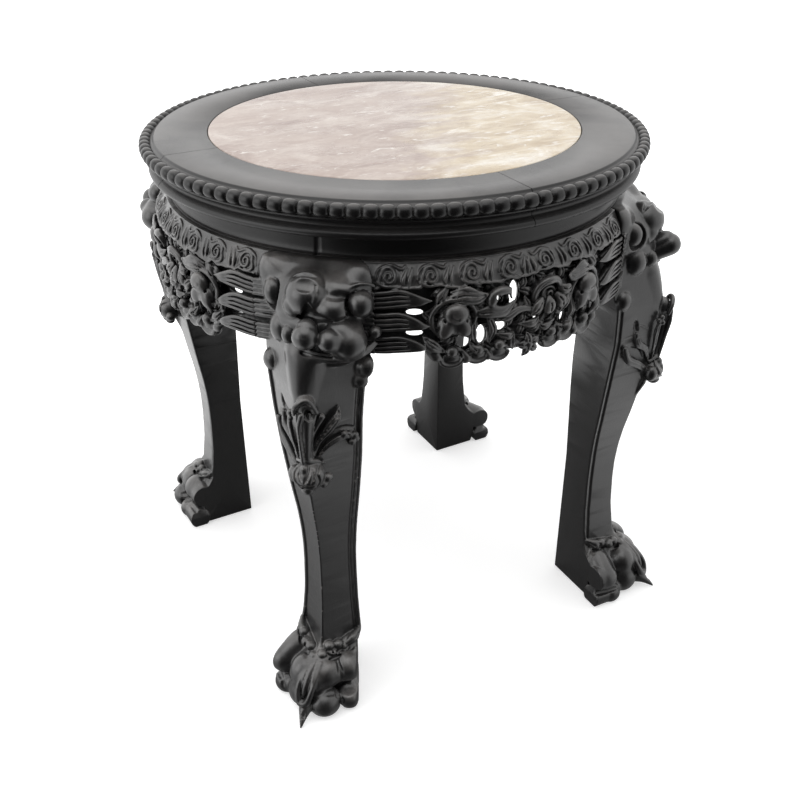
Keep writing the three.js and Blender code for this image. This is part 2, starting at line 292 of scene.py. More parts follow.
def swept(outline_at, angles, material, name):
    """A closed (radius, height) outline carried along the given angles, with both ends capped."""
    rings = []
    for angle in angles:
        outline = outline_at(angle)
        rings.append(np.c_[outline[:, 0] * math.cos(angle), outline[:, 0] * math.sin(angle),
                           outline[:, 1]])
    count = len(rings[0])
    points = np.concatenate(rings) * MM
    faces = []
    for ring in range(len(rings) - 1):
        for side in range(count):
            a = ring * count + side
            b = ring * count + (side + 1) % count
            faces.append((a, a + count, b + count, b))
    last = (len(rings) - 1) * count
    faces.append(tuple(range(count)))
    faces.append(tuple(last + count - 1 - i for i in range(count)))
    return mesh_object(name, points, faces, material)


def rounded_path(points, steps):
    """A smooth curve through the points, with a number of steps between each two."""
    p = np.array(points, float)
    p = np.vstack([2 * p[0] - p[1], p, 2 * p[-1] - p[-2]])
    out = []
    for i in range(1, len(p) - 2):
        for t in np.linspace(0, 1, steps, endpoint=False):
            a, b, c, d = p[i - 1], p[i], p[i + 1], p[i + 2]
            out.append(0.5 * (2 * b + (c - a) * t + (2 * a - 5 * b + 4 * c - d) * t ** 2
                              + (3 * b - a - 3 * c + d) * t ** 3))
    out.append(p[-2])
    return np.array(out)


MAX_TRIANGLES = 185000


def thin_out(piece):
    """Joins flat neighbouring faces until the piece is light enough."""
    piece.data.calc_loop_triangles()
    count = len(piece.data.loop_triangles)
    if count <= MAX_TRIANGLES:
        return
    thinner = piece.modifiers.new("thinner", "DECIMATE")
    thinner.ratio = MAX_TRIANGLES / count
    graph = bpy.context.evaluated_depsgraph_get()
    thinned = bpy.data.meshes.new_from_object(piece.evaluated_get(graph))
    thinned.validate()
    thinned.name = piece.name
    piece.modifiers.remove(thinner)
    piece.data = thinned
    thinned.polygons.foreach_set("use_smooth", [True] * len(thinned.polygons))


# Ring frame with its beaded edge, waist and marble

BEADS_PER_ARC = 29
STEPS_PER_BEAD = 12
BEAD_CENTRE = (214.6, HEIGHT - 5.7)
BEAD_RADIUS = 5.5
BEAD_WIDENING = 0.95
FRAME_THICKNESS = 28.0
REBATE_DEPTH = 12.3
LEDGE_RADIUS = 146.0
SEAM = 0.3 / TOP_RADIUS
WAIST_SEAM = 0.15 / TOP_RADIUS
FRAME_CREASE = math.radians(60)
MARBLE_CREASE = math.radians(50)


def below_top(*places):
    """(radius, drop under the top face) pairs as (radius, height)."""
    return np.array([(radius, HEIGHT - drop) for radius, drop in places])


def frame_outline(angle):
    """Outline of the ring at one angle: the bead roll narrows between two beads."""
    share = (angle / QUARTER * BEADS_PER_ARC) % 1.0
    along = abs(share - 0.5) * 2
    bead = math.sqrt(max(0.0, 1 - along ** 2.4))
    size = BEAD_RADIUS * (0.42 + 0.58 * bead)
    turns = np.radians(np.linspace(150, -100, 22))
    roll = np.c_[BEAD_CENTRE[0] + size * np.cos(turns) * BEAD_WIDENING,
                 BEAD_CENTRE[1] + size * np.sin(turns)]
    flat = below_top((MARBLE_RADIUS + 0.4, 0.7), (MARBLE_RADIUS + 1.0, 0.0), (206.0, 0.0), (206.9, 0.3),
                     (207.5, 1.6), (208.3, 2.0), (209.0, 2.4))
    cove_and_lip = rounded_path(below_top(
        (213.4, 11.2), (214.2, 12.4), (213.2, 13.8), (210.4, 15.0), (209.0, 17.2), (209.2, 19.2),
        (211.6, 20.8), (213.8, 22.8), (214.0, 25.2), (212.0, 27.3), (206.0, FRAME_THICKNESS)), 4)
    inside = below_top((LEDGE_RADIUS, FRAME_THICKNESS), (LEDGE_RADIUS, REBATE_DEPTH),
                       (MARBLE_RADIUS + 0.3, REBATE_DEPTH))
    return np.vstack([flat, roll, cove_and_lip, inside])


def place_quarters(piece, name, slot, node):
    """The piece and three turned copies, in the place of the four nodes."""
    for index in range(4):
        copy = turned_copy(piece, f"{name}_{index + 1}", index * QUARTER)
        finish_piece(copy, slot, f"{node}_{index + 1}")


def build_frame():
    angles = np.linspace(SEAM, QUARTER - SEAM, BEADS_PER_ARC * STEPS_PER_BEAD + 1)
    arc = swept(frame_outline, angles, TURNED, "frame_arc_1")
    arc.data.set_sharp_from_angle(angle=FRAME_CREASE)
    place_quarters(arc, "frame_arc", "black_wood", "top_frame")


def build_waist():
    face = rounded_path([(199.0, 414.0), (196.6, 415.2), (195.2, 418.6), (194.8, 426.0), (195.6, 430.0),
                         (198.0, 432.7)], 5)
    back = np.array([(186.0, 432.7), (186.0, 414.0)])
    outline = np.vstack([face, back])
    angles = np.linspace(-QUARTER / 2 + WAIST_SEAM, QUARTER / 2 - WAIST_SEAM, 91)
    strip = swept(lambda angle: outline[::-1], angles, TURNED, "waist_strip_1")
    place_quarters(strip, "waist_strip", "black_wood", "waist")


def build_marble():
    profile = below_top(
        (40, 0), (80, 0), (120, 0), (150, 0), (160.4, 0), (161.2, 0.15), (161.6, 0.6),
        (MARBLE_RADIUS, 1.3), (MARBLE_RADIUS, 12), (120, 12))
    steps = 180
    points = [(0, 0, HEIGHT * MM), (0, 0, (HEIGHT - 12) * MM)]
    for radius, height in profile:
        for step in range(steps):
            angle = 2 * math.pi * step / steps
            points.append((radius * math.cos(angle) * MM, radius * math.sin(angle) * MM, height * MM))
    faces = []
    last = 2 + (len(profile) - 1) * steps
    for step in range(steps):
        after = (step + 1) % steps
        faces.append((0, 2 + step, 2 + after))
        faces.append((1, last + after, last + step))
        for ring in range(len(profile) - 1):
            a = 2 + ring * steps
            faces.append((a + step, a + steps + step, a + steps + after, a + after))
    piece = mesh_object("marble_disc", points, faces, MARBLE)
    piece.data.set_sharp_from_angle(angle=MARBLE_CREASE)
    finish_piece(piece, "marble", "marble_top")


# Carving: a block of clay held as distances on a grid

class Clay:
    """Distances in millimetres from the surface, negative inside, on a regular grid."""

    BAND = 6.0

    def __init__(self, low, high, voxel):
        self.low = np.array(low, float)
        self.high = np.array(high, float)
        self.voxel = voxel
        size = np.ceil((self.high - self.low) / voxel).astype(int) + 1
        self.axes = [self.low[i] + voxel * np.arange(size[i]) for i in range(3)]
        self.field = np.full(size, self.BAND, np.float32)

    def grids(self, cuts=(slice(None), slice(None), slice(None))):
        return (
            self.axes[0][cuts[0]][:, None, None],
            self.axes[1][cuts[1]][None, :, None],
            self.axes[2][cuts[2]][None, None, :],
        )

    def window(self, low, high):
        cuts = []
        for axis in range(3):
            first = max(int(np.floor((low[axis] - self.low[axis]) / self.voxel)), 0)
            last = int(np.ceil((high[axis] - self.low[axis]) / self.voxel)) + 1
            last = min(last, self.field.shape[axis])
            if last <= first:
                return None
            cuts.append(slice(first, last))
        return tuple(cuts)

    def merge(self, cuts, shape, soft, cut):
        old = self.field[cuts]
        self.field[cuts] = -smooth_min(-old, shape, soft) if cut else smooth_min(old, shape, soft)

    def apply(self, distance, low=None, high=None, soft=0.0, cut=False):
        margin = soft + 2.5 * self.voxel
        low = self.low if low is None else np.array(low) - margin
        high = self.high if high is None else np.array(high) + margin
        cuts = self.window(low, high)
        if cuts is not None:
            shape = np.broadcast_to(distance(*self.grids(cuts)), self.field[cuts].shape)
            self.merge(cuts, shape, soft, cut)

    def ball(self, centre, radii, soft=1.0, axes=None, cut=False):
        """An ellipsoid. axes are three unit vectors that its radii lie along."""
        c = np.array(centre, float)
        r = np.array(np.broadcast_to(radii, 3), float)
        own_axes = np.eye(3) if axes is None else np.array(axes, float)
        reach = np.sqrt(((own_axes * r[:, None]) ** 2).sum(0))

        def distance(x, y, z):
            local = [sum(a * (g - o) for a, g, o in zip(axis, (x, y, z), c)) for axis in own_axes]
            near = np.sqrt(sum((q / s) ** 2 for q, s in zip(local, r)))
            slope = np.sqrt(sum((q / s ** 2) ** 2 for q, s in zip(local, r)))
            return near * (near - 1) / np.maximum(slope, 1e-6)

        self.apply(distance, c - reach, c + reach, soft, cut)

    def stroke(self, points, radii, soft=0.8, cut=False, flat=None):
        """A chain of tapered rods. flat is (unit vector, share): the rod is thinner along that vector."""
        p = np.array(points, float)
        r = np.broadcast_to(radii, len(p)).astype(float)
        margin = soft + 2.5 * self.voxel
        cuts = self.window((p - r[:, None]).min(0) - margin, (p + r[:, None]).max(0) + margin)
        if cuts is None:
            return
        start = [c.start for c in cuts]
        made = np.full(self.field[cuts].shape, self.BAND, np.float32)
        for a, b, ra, rb in zip(p[:-1], p[1:], r[:-1], r[1:]):
            reach = max(ra, rb) + margin
            small = self.window(np.minimum(a, b) - reach, np.maximum(a, b) + reach)
            if small is None:
                continue
            inner = tuple(
                slice(max(s.start - o, 0), min(s.stop - o, n))
                for s, o, n in zip(small, start, made.shape)
            )
            local = self.grids(tuple(slice(i.start + o, i.stop + o) for i, o in zip(inner, start)))
            axis = b - a
            length = max(float(axis @ axis), 1e-9)
            along = np.clip(sum((g - o) * d for g, o, d in zip(local, a, axis)) / length, 0, 1)
            off = [g - o - along * d for g, o, d in zip(local, a, axis)]
            if flat is not None:
                thin = sum(q * d for q, d in zip(off, flat[0]))
                off = [q + thin * d * (1 / flat[1] - 1) for q, d in zip(off, flat[0])]
            gap = np.sqrt(sum(q * q for q in off)) - (ra + (rb - ra) * along)
            made[inner] = np.minimum(made[inner], gap)
        self.merge(cuts, made, soft, cut)

    def sweep(self, count, points, radii, soft=0.8, cut=False, at=None):
        """A rod along a smooth path of count points. radii are spread evenly along it, or stand at
        the shares of its length that are given."""
        self.stroke(curve(points, count), spread(radii, count, at), soft, cut)

    def groove(self, count, points, radii, soft=0.8, at=None):
        """A cut along a smooth path."""
        self.sweep(count, points, radii, soft, True, at)

    def leaf(self, spine, widths, up, fullness=0.6, grooves=(), soft=0.5, cut_radius=0.75):
        """A plump leaf along a spine. widths are its half widths from root to tip, grooves are
        lines cut along it at shares of the half width, and up is the side it swells to."""
        count = 18
        path = curve(spine, count)
        half = spread(widths, count)
        up = np.array(up, float) / np.linalg.norm(up)
        self.stroke(path, half, soft, flat=(up, fullness))
        ahead = np.gradient(path, axis=0)
        ahead /= np.linalg.norm(ahead, axis=1)[:, None]
        sideways = np.cross(up, ahead)
        for share in grooves:
            rise = fullness * math.sqrt(1 - share * share)
            line = path + sideways * (half * share)[:, None] + up * (half * rise)[:, None]
            self.stroke(line[2:-2], cut_radius, 0.35, cut=True)

    def surface(self):
        grid = openvdb.FloatGrid(self.BAND)
        grid.copyFromArray(np.clip(self.field, -self.BAND, self.BAND))
        points, triangles, quads = grid.convertToPolygons(0.0, 0.0)
        faces = [tuple(f[::-1]) for f in triangles.tolist()] + [tuple(f[::-1]) for f in quads.tolist()]
        return points.astype(float) * self.voxel + self.low, faces


def smooth_min(a, b, soft):
    if soft <= 0:
        return np.minimum(a, b)
    share = np.clip(0.5 + 0.5 * (b - a) / soft, 0, 1)
    return b + (a - b) * share - soft * share * (1 - share)


def smooth_max(a, b, soft):
    return -smooth_min(-a, -b, soft)


def curve(points, count):
    """A smooth path through a few points."""
    path = rounded_path(points, 8)
    steps = np.linspace(0, len(path) - 1, count)
    whole = np.floor(steps).astype(int).clip(0, len(path) - 2)
    part = (steps - whole)[:, None]
    return path[whole] * (1 - part) + path[whole + 1] * part


def spread(values, count, at=None):
    """A few values made into count values, even along a path or standing at given shares of it."""
    values = np.atleast_1d(values)
    places = np.linspace(0, 1, len(values)) if at is None else at
    return np.interp(np.linspace(0, 1, count), places, values)


def arc_points(centre, radii, start, end, count, depth):
    """Points of an arc in the face plane (across, height) at one depth, angles in degrees."""
    turns = np.radians(np.linspace(start, end, count))
    wide, tall = np.broadcast_to(radii, 2)
    return np.c_[
        centre[0] + wide * np.cos(turns),
        centre[1] + tall * np.sin(turns),
        np.broadcast_to(depth, count),
    ]


# Apron, carved flat as (along the arc, height, out from the panel), then bent round the table

APRON_RADIUS = 211.0
APRON_END = 114.6
APRON_REACH = 134
APRON_TOP = 413.7
APRON_LOW = 318.0
APRON_VOXEL = 0.62
GROUND = -8.0
PANEL_BACK = -13.5
OUT = (0, 0, 1)
LAPPET_PITCH = 31.0
LAPPETS = 8


def apron_face(z):
    """Outward offset of the carved crests at each height."""
    return np.interp(z, [318, 330, 352, 374, 390, 397, 405, APRON_TOP],
                     [1, 2.5, 3.6, 3, 1.5, 1, -2, -8.5])


def on_band(s, z, lift=0):
    return (s, z, apron_face(z) + lift)


def raised(base, *places, side=1):
    """Places (across, height, depth), mirrored to one side and measured from a base depth."""
    return [(side * s, z, base + t) for s, z, t in places]


def spiral(clay, centre, outer, turns, start, hand, thick):
    """A low curl on the border band that winds inwards."""
    count = int(26 * turns)
    inward = np.linspace(0, 1, count)
    angle = math.radians(start) + hand * 2 * math.pi * turns * inward
    radius = outer * (1 - 0.82 * inward)
    path = [on_band(centre[0] + r * math.cos(a), centre[1] + r * math.sin(a), 0.15 + 0.5 * i)
            for r, a, i in zip(radius, angle, inward)]
    clay.stroke(path, thick * (1 - 0.35 * inward), 0.3)


def band_edge(s):
    """Height of the border band's wavy lower edge."""
    turn = 2 * math.pi * s / LAPPET_PITCH
    slow = 0.9 * np.sin(0.061 * s + 0.6) + 0.7 * np.sin(0.143 * s)
    return 395.6 + slow - 1.2 * np.cos(turn) + 0.8 * np.cos(2 * turn + 1.1) + 0.6 * np.sin(3 * turn)


def border_band(clay):
    """A flat band along the top with a wavy lower edge and a thin raised line that follows it."""
    def band(s, z, t):
        front = t - apron_face(z) + 0.3
        return smooth_max(np.maximum(np.maximum(front, PANEL_BACK - t), z - APRON_TOP),
                          (band_edge(s) - z) * 0.9, 2.2)

    clay.apply(band, (-APRON_REACH, 391, -19), (APRON_REACH, 416, 4))
    places = np.linspace(-118, 118, 190)
    clay.stroke([on_band(s, band_edge(s) + 1.6, -0.2) for s in places], 0.95, 0.5)


def lappet(clay, middle, hand):
    """One repeat of the border: a curl with a tail, and two slanting leaves beside it."""
    spiral(clay, (middle, 404.6), 6.3, 1.6, 90 + hand * 80, -hand, 1.25)

    def at(shift, z, lift):
        return on_band(middle + hand * shift, z, lift)

    clay.sweep(14, [at(-6.2, 405.4, 0.2), at(-7.4, 400.6, 0.3), at(-2, 397.9, 0.2), at(6, 398.4, 0.1)],
               (1.1, 1.3, 0.6), 0.4)
    for shift, lean, size in ((10, 3.6, 1.7), (14.4, 3, 1.4)):
        clay.sweep(12, [at(shift, 397.6, -0.2), at(shift + lean * 0.2, 403, 0.5),
                        at(shift + lean, 409.6, -0.3)], (0.6, size, 0.7), 0.4)
    clay.groove(12, [at(8.6, 409.8, 0.4), at(7.8, 403, 0.6), at(9.8, 398.2, 0.4)], 0.9, 0.5)
    depths = apron_face(404.6 + 7.6 * np.sin(np.radians(np.linspace(20, 200, 18)))) + 0.3
    clay.stroke(arc_points((middle, 404.6), (8.6, 7.6), 20, 200, 18, depths), 0.8, 0.4, cut=True)
    clay.sweep(20, [at(-10, 402.6, -0.2), at(-7.6, 409, 0.2), at(1, 412, 0.2), at(9, 409.4, 0.2),
                    at(12.4, 411.6, 0)], (0.6, 1.25, 0.6), 0.4)


def mane_tuft(clay, side, root_top, root_low, tip, wave):
    """Combed strands from the mask's side that sweep up, then run together into a pointed tip."""
    strands = 4
    middle = (root_top + root_low) / 2
    depth = apron_face(middle)

    def at(s, z, lift):
        return (side * s, z, depth + lift)

    clay.stroke([at(123, middle, -3.6), at(98, middle + 0.4, -3.4), at(86, tip[1] + 0.4, -2.8)],
                [4.8, 4.4, 2.2], 0.6)
    clay.stroke([at(123, root_low + 0.8, -2.6), at(100, root_low + 1.4, -2.2)], [2.7, 2.3], 0.6)
    for strand in range(strands):
        share = strand / (strands - 1)
        root = root_top + (root_low - root_top) * share
        lifted = wave * (1.0 - 0.6 * share)
        drop = root - tip[1]
        path = curve([
            at(123, root, 0.2),
            at(112, root + lifted * 0.3, 1),
            at(101, root + lifted - drop * 0.12, 1.7),
            at(91, tip[1] + drop * 0.58 + lifted * 0.6, 1.9),
            at(84, tip[1] + drop * 0.24, 1.6),
            at(tip[0] + 1, tip[1] + drop * 0.04, 0.8),
        ], 24)
        clay.stroke(path, spread((1.45, 1.6, 1.5, 0.6), 24, (0, 0.45, 0.75, 1)), 0.15)
        if share > 0:
            groove = path + (0, (root_top - root_low) / (strands - 1) / 2 * 0.9, 0)
            clay.stroke(groove[:15], spread((0.9, 0.9, 0.4), 15, (0, 0.6, 1)), 0.3, cut=True)
    clay.leaf([at(98, root_top - 0.4, 0.6), at(88, tip[1] + 2.6, 1.9), at(tip[0] - 0.8, tip[1], 1.2)],
              [0.8, 3, 0.5], OUT, 0.6, (), 0.5)


def lotus_bud(clay, side):
    """A round bud in a two-pointed cup, with a thin rim arching over it."""
    base = apron_face(372)
    middle = 90

    def rim(radii, start, end, count, depth):
        return arc_points((side * 60.5, 371), radii, middle - side * start, middle + side * end, count,
                          depth)

    clay.stroke(rim((16.6, 15.4), 70, 110, 30, spread((base - 2.6, base - 0.4, base - 3), 30)), 2, 0.5)
    clay.stroke(rim((13.2, 12), 60, 100, 26, base - 2.4), 1.3, 0.5, cut=True)
    clay.leaf(raised(base, (76, 379, -2.8), (77.5, 368, -1.6), (71.5, 356, -2), side=side),
              [1.2, 2.8, 0.6], OUT, 0.8, (), 0.5)
    clay.ball((side * 60.5, 369, base - 4), (12.2, 10.5, 5.6), 1.2)
    clay.ball((side * 60.5, 366.6, base - 0.6), (13.2, 8.8, 5), 0.6)
    for lean in (1, -1):
        clay.leaf([(side * (60.5 + lean * 3.4), 369, base - 0.2),
                   (side * (60.5 + lean * 7.2), 362.4, base + 2.4),
                   (side * (60.6 + lean * 10), 354.4, base + 0.4)], [6.8, 5.2, 0.4], OUT, 0.6, (), 0.8)
    clay.stroke(raised(base, (61, 355.4, 1.4), (60.8, 361, 4.6), side=side), [1.8, 0.5], 0.6, cut=True)
    clay.ball((side * 59.5, 375.6, base + 1), (9.6, 8.4, 6), 0)
    clay.stroke(arc_points((side * 59.5, 375.4), (10, 8.8), 190, 350, 22, base + 2.4), 1, 0.3, cut=True)
    swirl = arc_points((side * 59.5, 376.8), (4.8, 3.9), -100, 110, 16, base + 6.6)
    swirl[:, 0] = side * 59.5 + side * (swirl[:, 0] - side * 59.5)
    clay.stroke(swirl, np.linspace(0.9, 0.5, 16), 0.3, cut=True)


def berry_cup(clay, s, radius, berry_z, low):
    """A berry over a half-round scallop with a rolled lip."""
    base = apron_face(334)
    middle = low + radius * 0.78
    clay.ball((s, middle, base - 4.6), (radius, radius * 0.80, 5.6), 0.8)
    lip = arc_points((s, middle + 1.6), (radius * 0.88, radius * 0.62), 184, 356, 20, base - 0.4)
    clay.stroke(lip, 1.7, 0.5)
    clay.stroke(arc_points((s, middle + 2.6), (radius * 0.66, radius * 0.44), 190, 350, 14, base + 1.4),
                1.5, 0.5, cut=True)
    clay.ball((s, berry_z, base - 1), (radius * 0.52, radius * 0.50, 4.6), 0.3)
    clay.stroke(raised(base, (s + 1, berry_z - 3.2, 3.4), (s + 2.6, berry_z + 1.6, 3.6)), 0.6, 0.3,
                cut=True)


def curled_leaf(clay):
    """A fat leaf rolled round a dark hole, left of the middle."""
    base = apron_face(382)
    turn = np.radians(np.linspace(-105, -360, 24))
    path = np.c_[
        -23.2 + 8.8 * np.cos(turn),
        382.0 + 7.4 * np.sin(turn),
        spread((base - 2, base + 0.4, base + 0.8, base - 1), 24, (0, 0.3, 0.7, 1)),
    ]
    clay.stroke(path, spread((1.8, 4.6, 3.4, 1.8), 24, (0, 0.35, 0.7, 1)), 0.5)
    clay.leaf(raised(base, (-45, 372.5, -1.5), (-33, 373.6, 0.6), (-22, 372.5, 1), (-11, 379, -0.8)),
              [2.4, 5.6, 4.6, 0.8], OUT, 0.55, (0,), 0.5)
    clay.leaf(raised(base, (-35, 386.5, -2), (-41, 380, -2.4), (-47, 371.5, -3)), [2, 2.6, 0.8], OUT, 0.8,
              (), 0.5)
    clay.leaf(raised(base, (-30, 366, -1.5), (-19, 366.5, 0.6), (-7, 371, 0.4), (9.5, 367, 1.6)),
              [1.6, 3.8, 3, 0.6], OUT, 0.6, (0.15,), 0.5)
    clay.leaf(raised(base, (-33, 368, -2), (-29.5, 358, -0.4), (-31.5, 347, -1.6)), [2.2, 3.6, 0.8], OUT,
              0.7, (0,), 0.5)


def rolled_rose(clay):
    """An open rolled flower right of the middle: a hooded outer petal over a dark heart."""
    base = apron_face(380)
    s, z = 18, 379.5
    clay.ball((s, z - 1.5, base - 8), (15, 13, 4.5), 1)
    hood = arc_points((s, z - 1.5), (12.6, 11.6), -16, 200, 34,
                      spread((base - 2.2, base + 1.6, base - 1.8), 34))
    clay.stroke(hood, spread((1.8, 3.4, 2.2), 34), 0.4)
    clay.stroke(hood[3:-3] + (0, 0.4, 3), 0.65, 0.3, cut=True)
    clay.ball((s + 0.5, z - 0.5, base - 1.5), (8.4, 7.2, 5), 0.6, cut=True)
    clay.stroke(arc_points((s + 2, z - 2.4), (6.2, 5), 20, 190, 18, base - 2.8), 1.3, 0.3)
    clay.stroke(arc_points((s + 3.4, z - 3.6), (2.6, 2.4), -20, 215, 14, base - 2.2), 1.1, 0.3)
    for root, mid, tip, half in (
        ((s - 7, 374), (s - 11, 369.5), (s - 16, 362.5), 4.8),
        ((s + 0.5, 373.5), (s + 0.6, 367.5), (s + 1.2, 360), 5.8),
        ((s + 9, 374.5), (s + 12.5, 369), (s + 15, 361.5), 5),
        ((s + 12, 380), (s + 17.5, 378), (s + 23, 380), 4.4),
    ):
        clay.leaf([(*root, base + 0.2), (*mid, base + 2.2), (*tip, base - 0.2)], [2.8, half, 0.6], OUT,
                  0.5, (0,), 0.3)


def star_blossom(clay, s, z, size):
    base = apron_face(z)
    petals = 5
    for index in range(petals):
        angle = 2 * math.pi * index / petals + math.radians(100)
        across, up = math.cos(angle), math.sin(angle)
        clay.leaf(raised(base, (s, z, -1), (s + size * 0.55 * across, z + size * 0.5 * up, 1.2),
                         (s + size * 1.12 * across, z + size * 1.05 * up, -0.6)), [2, size * 0.36, 0.7],
                  OUT, 0.55, (0,), 0.35)
    clay.ball((s, z, base + 1.2), (size * 0.27, size * 0.27, 2.6), 0.2)


# spine as (across, height, depth), half widths, fullness, grooves, softness
HIGH_LEAVES = (
    (((63, 391.5, -1.6), (52, 394.2, 1.4), (43, 391.5, 2.6)), (1, 2.6, 0.6), 0.8, (), 0.4),
    (((73, 381, -3.2), (70, 389, -1.6), (64, 397, -3)), (2, 4.2, 1), 0.7, (0,), 0.5),
)
OUTER_LEAVES = (
    (((83, 357, 1), (77, 350.5, 3.6), (67, 344.5, 2.6)), (1.4, 5.4, 1), 0.55, (0, 0.5), 0.4),
    (((80, 344.5, 1.2), (74, 341, 2.4), (68, 336, 1)), (1.6, 4.2, 1.4), 0.7, (), 0.6),
)
LOW_LEAVES = (
    (((53, 343, 0.6), (50, 337, 2.6), (51.5, 333, 1)), (1.2, 3.4, 1), 0.8, (), 0.5),
    (((34, 341, 0.6), (32.4, 336, 2.4), (32.6, 333, 1)), (1.2, 2.8, 1), 0.8, (), 0.5),
    (((47, 349, 0.4), (44, 344, 2.6), (33.5, 341.5, 1.6)), (1.2, 3, 0.8), 0.7, (0,), 0.4),
    (((12, 352, 0.6), (17, 350.5, 3), (27, 353.5, 1.4)), (1.2, 3.4, 0.8), 0.7, (0,), 0.4),
    (((45, 366, 0.2), (46, 357, 2.2), (43, 348.5, 1.4)), (2, 3.4, 0.8), 0.7, (0,), 0.4),
)
# across, radius, height of the berry, lowest point
BERRY_CUPS = ((61.6, 9.6, 343.8, 328.4), (41, 8.8, 343, 329.6), (23.8, 8.6, 344.4, 329))


def side_leaves(clay, side, leaves, base):
    for spine, widths, fullness, grooves, soft in leaves:
        clay.leaf(raised(base, *spine, side=side), widths, OUT, fullness, grooves, soft)


def apron_foliage(clay):
    for side in (1, -1):
        mane_tuft(clay, side, 393, 382.4, (77.6, 387), 3.4)
        mane_tuft(clay, side, 376.4, 365, (79.4, 367), 2.8)
        mane_tuft(clay, side, 357.4, 347.2, (80.6, 349.8), 2.6)
        lotus_bud(clay, side)
        base = apron_face(388)
        clay.leaf(raised(base, (66, 386.6, -2), (54, 388, 1), (44, 386.8, 1.6), (35.6, 389, 3.2),
                         side=side), [1.4, 6.6, 5.6, 0.5], OUT, 0.55, (-0.35 * side, 0.3 * side), 0.3)
        side_leaves(clay, side, HIGH_LEAVES, base)
        side_leaves(clay, side, OUTER_LEAVES, 0)
        for s, radius, berry_z, low in BERRY_CUPS:
            berry_cup(clay, side * s, radius, berry_z, low)
        side_leaves(clay, side, LOW_LEAVES, 0)
    curled_leaf(clay)
    rolled_rose(clay)
    clay.leaf([(42, 371, 0.4), (37, 366, 3), (31, 356.5, 1.6)], [2, 4, 0.8], OUT, 0.6, (0,), 0.4)
    clay.leaf([(11, 359, 0.2), (4, 356.5, 2.6), (-8, 358, 1.4)], [1.6, 4, 0.8], OUT, 0.6, (0,), 0.4)
    star_blossom(clay, 1.6, 339.5, 10)


def apron_outline(s):
    """Lower edge of the panel behind the carving."""
    places = [0, 10, 20, 30, 42, 52, 62, 70, 78, 86, 100, APRON_REACH]
    heights = [331, 332, 332, 334, 333, 335, 332, 336, 340, 343.5, 344.5, 344.5]
    return np.interp(np.abs(s), places, heights)


def undergrowth(clay):
    """Low leaves that cover the ground behind the large ones."""
    for row, z in enumerate((390, 380.5, 371, 361.5, 352, 343.5)):
        for step in range(17):
            s = (step - 8) * 9.2 + 4.0 * math.sin(2.3 * row + 1)
            lean = math.radians(70 * math.sin(1.9 * step + 2.7 * row) + (20, 200)[(step + row) % 3 == 0])
            length = 7.5 + 2.5 * math.sin(3.1 * step + row)
            across, up = length * math.cos(lean), 0.8 * length * math.sin(lean)
            base = apron_face(z) - 5.6 + 1.4 * math.sin(1.3 * step + 2.1 * row)
            clay.leaf(raised(base, (s - across, z - up, -1.6), (s + up * 0.35, z - across * 0.2, 1.4),
                             (s + across, z + up, 0)), [1.6, 3.9, 0.6], OUT, 0.6, (0,), 0.4)


OPENING_TURN = math.radians(28)
OPENING_FALL = 0.47


def opening(clay, s, z, half_s, half_z, size):
    """A hole cut slanting down and away from the middle, so that daylight shows through from above."""
    hand = 1 if s > 20 else -1
    turn = OPENING_TURN - abs(s) / APRON_RADIUS
    through = np.array([-hand * math.sin(turn), -OPENING_FALL, -math.cos(turn)])
    through /= np.linalg.norm(through)
    level = np.cross((0, 1, 0), through)
    level /= np.linalg.norm(level)
    clay.ball((s, z, 0), (half_s * size, half_z * size, 60), 0.6,
              (level, np.cross(through, level), through), cut=True)


# across, height, half width, half height
SIDE_OPENINGS = ((89.5, 377.8, 4.8, 1.5), (89.5, 360.8, 4.8, 1.6), (52, 351, 3.6, 3.6),
                 (38, 354.6, 2.8, 5), (22.1, 359.8, 3.6, 2.9))
MIDDLE_OPENINGS = ((-12, 385, 3, 6.4), (-26, 382.6, 1.7, 2.3))
OPENINGS = [(side * s, *rest) for side in (1, -1) for s, *rest in SIDE_OPENINGS] + [*MIDDLE_OPENINGS]
BEFORE_FOLIAGE = 1.45
AFTER_FOLIAGE = 0.85


def carve_apron():
    clay = Clay((-APRON_REACH, APRON_LOW, -19), (APRON_REACH, 416, 9), APRON_VOXEL)

    def panel(s, z, t):
        rise = smooth_max(apron_face(z) - 9.0 - (z - 405) * 0.2, GROUND + 0 * z, 1)
        front = np.where(z > 402, np.maximum(rise, GROUND), GROUND)
        body = np.maximum(t - front, PANEL_BACK - t)
        edge = (apron_outline(s) - z) * 0.9
        return smooth_max(np.maximum(body, z - APRON_TOP), edge, 1.5)

    clay.apply(panel)
    undergrowth(clay)
    for hole in OPENINGS:
        opening(clay, *hole, BEFORE_FOLIAGE)
    border_band(clay)
    for step in range(LAPPETS):
        lappet(clay, (step - (LAPPETS - 1) / 2) * LAPPET_PITCH, 1 if step < LAPPETS / 2 else -1)
    apron_foliage(clay)
    for hole in OPENINGS:
        opening(clay, *hole, AFTER_FOLIAGE)

    def outside(s, z, t):
        radius = APRON_RADIUS + t
        ends = np.abs(radius * np.sin(s / APRON_RADIUS)) - APRON_END
        return -np.maximum(ends, z - APRON_TOP)

    clay.apply(outside, cut=True)
    points, faces = clay.surface()
    angle = points[:, 0] / APRON_RADIUS
    radius = APRON_RADIUS + points[:, 2]
    bent = np.c_[radius * np.cos(angle), radius * np.sin(angle), points[:, 1]]
    return bent, [face[::-1] for face in faces]


def build_aprons():
    points, faces = carve_apron()
    panel = mesh_object("carved_apron_1", points * MM, faces, CARVED)
    thin_out(panel)
    place_quarters(panel, "carved_apron", "carved_wood", "apron")


# Leg, carved as (out from the table's axis, sideways, height)

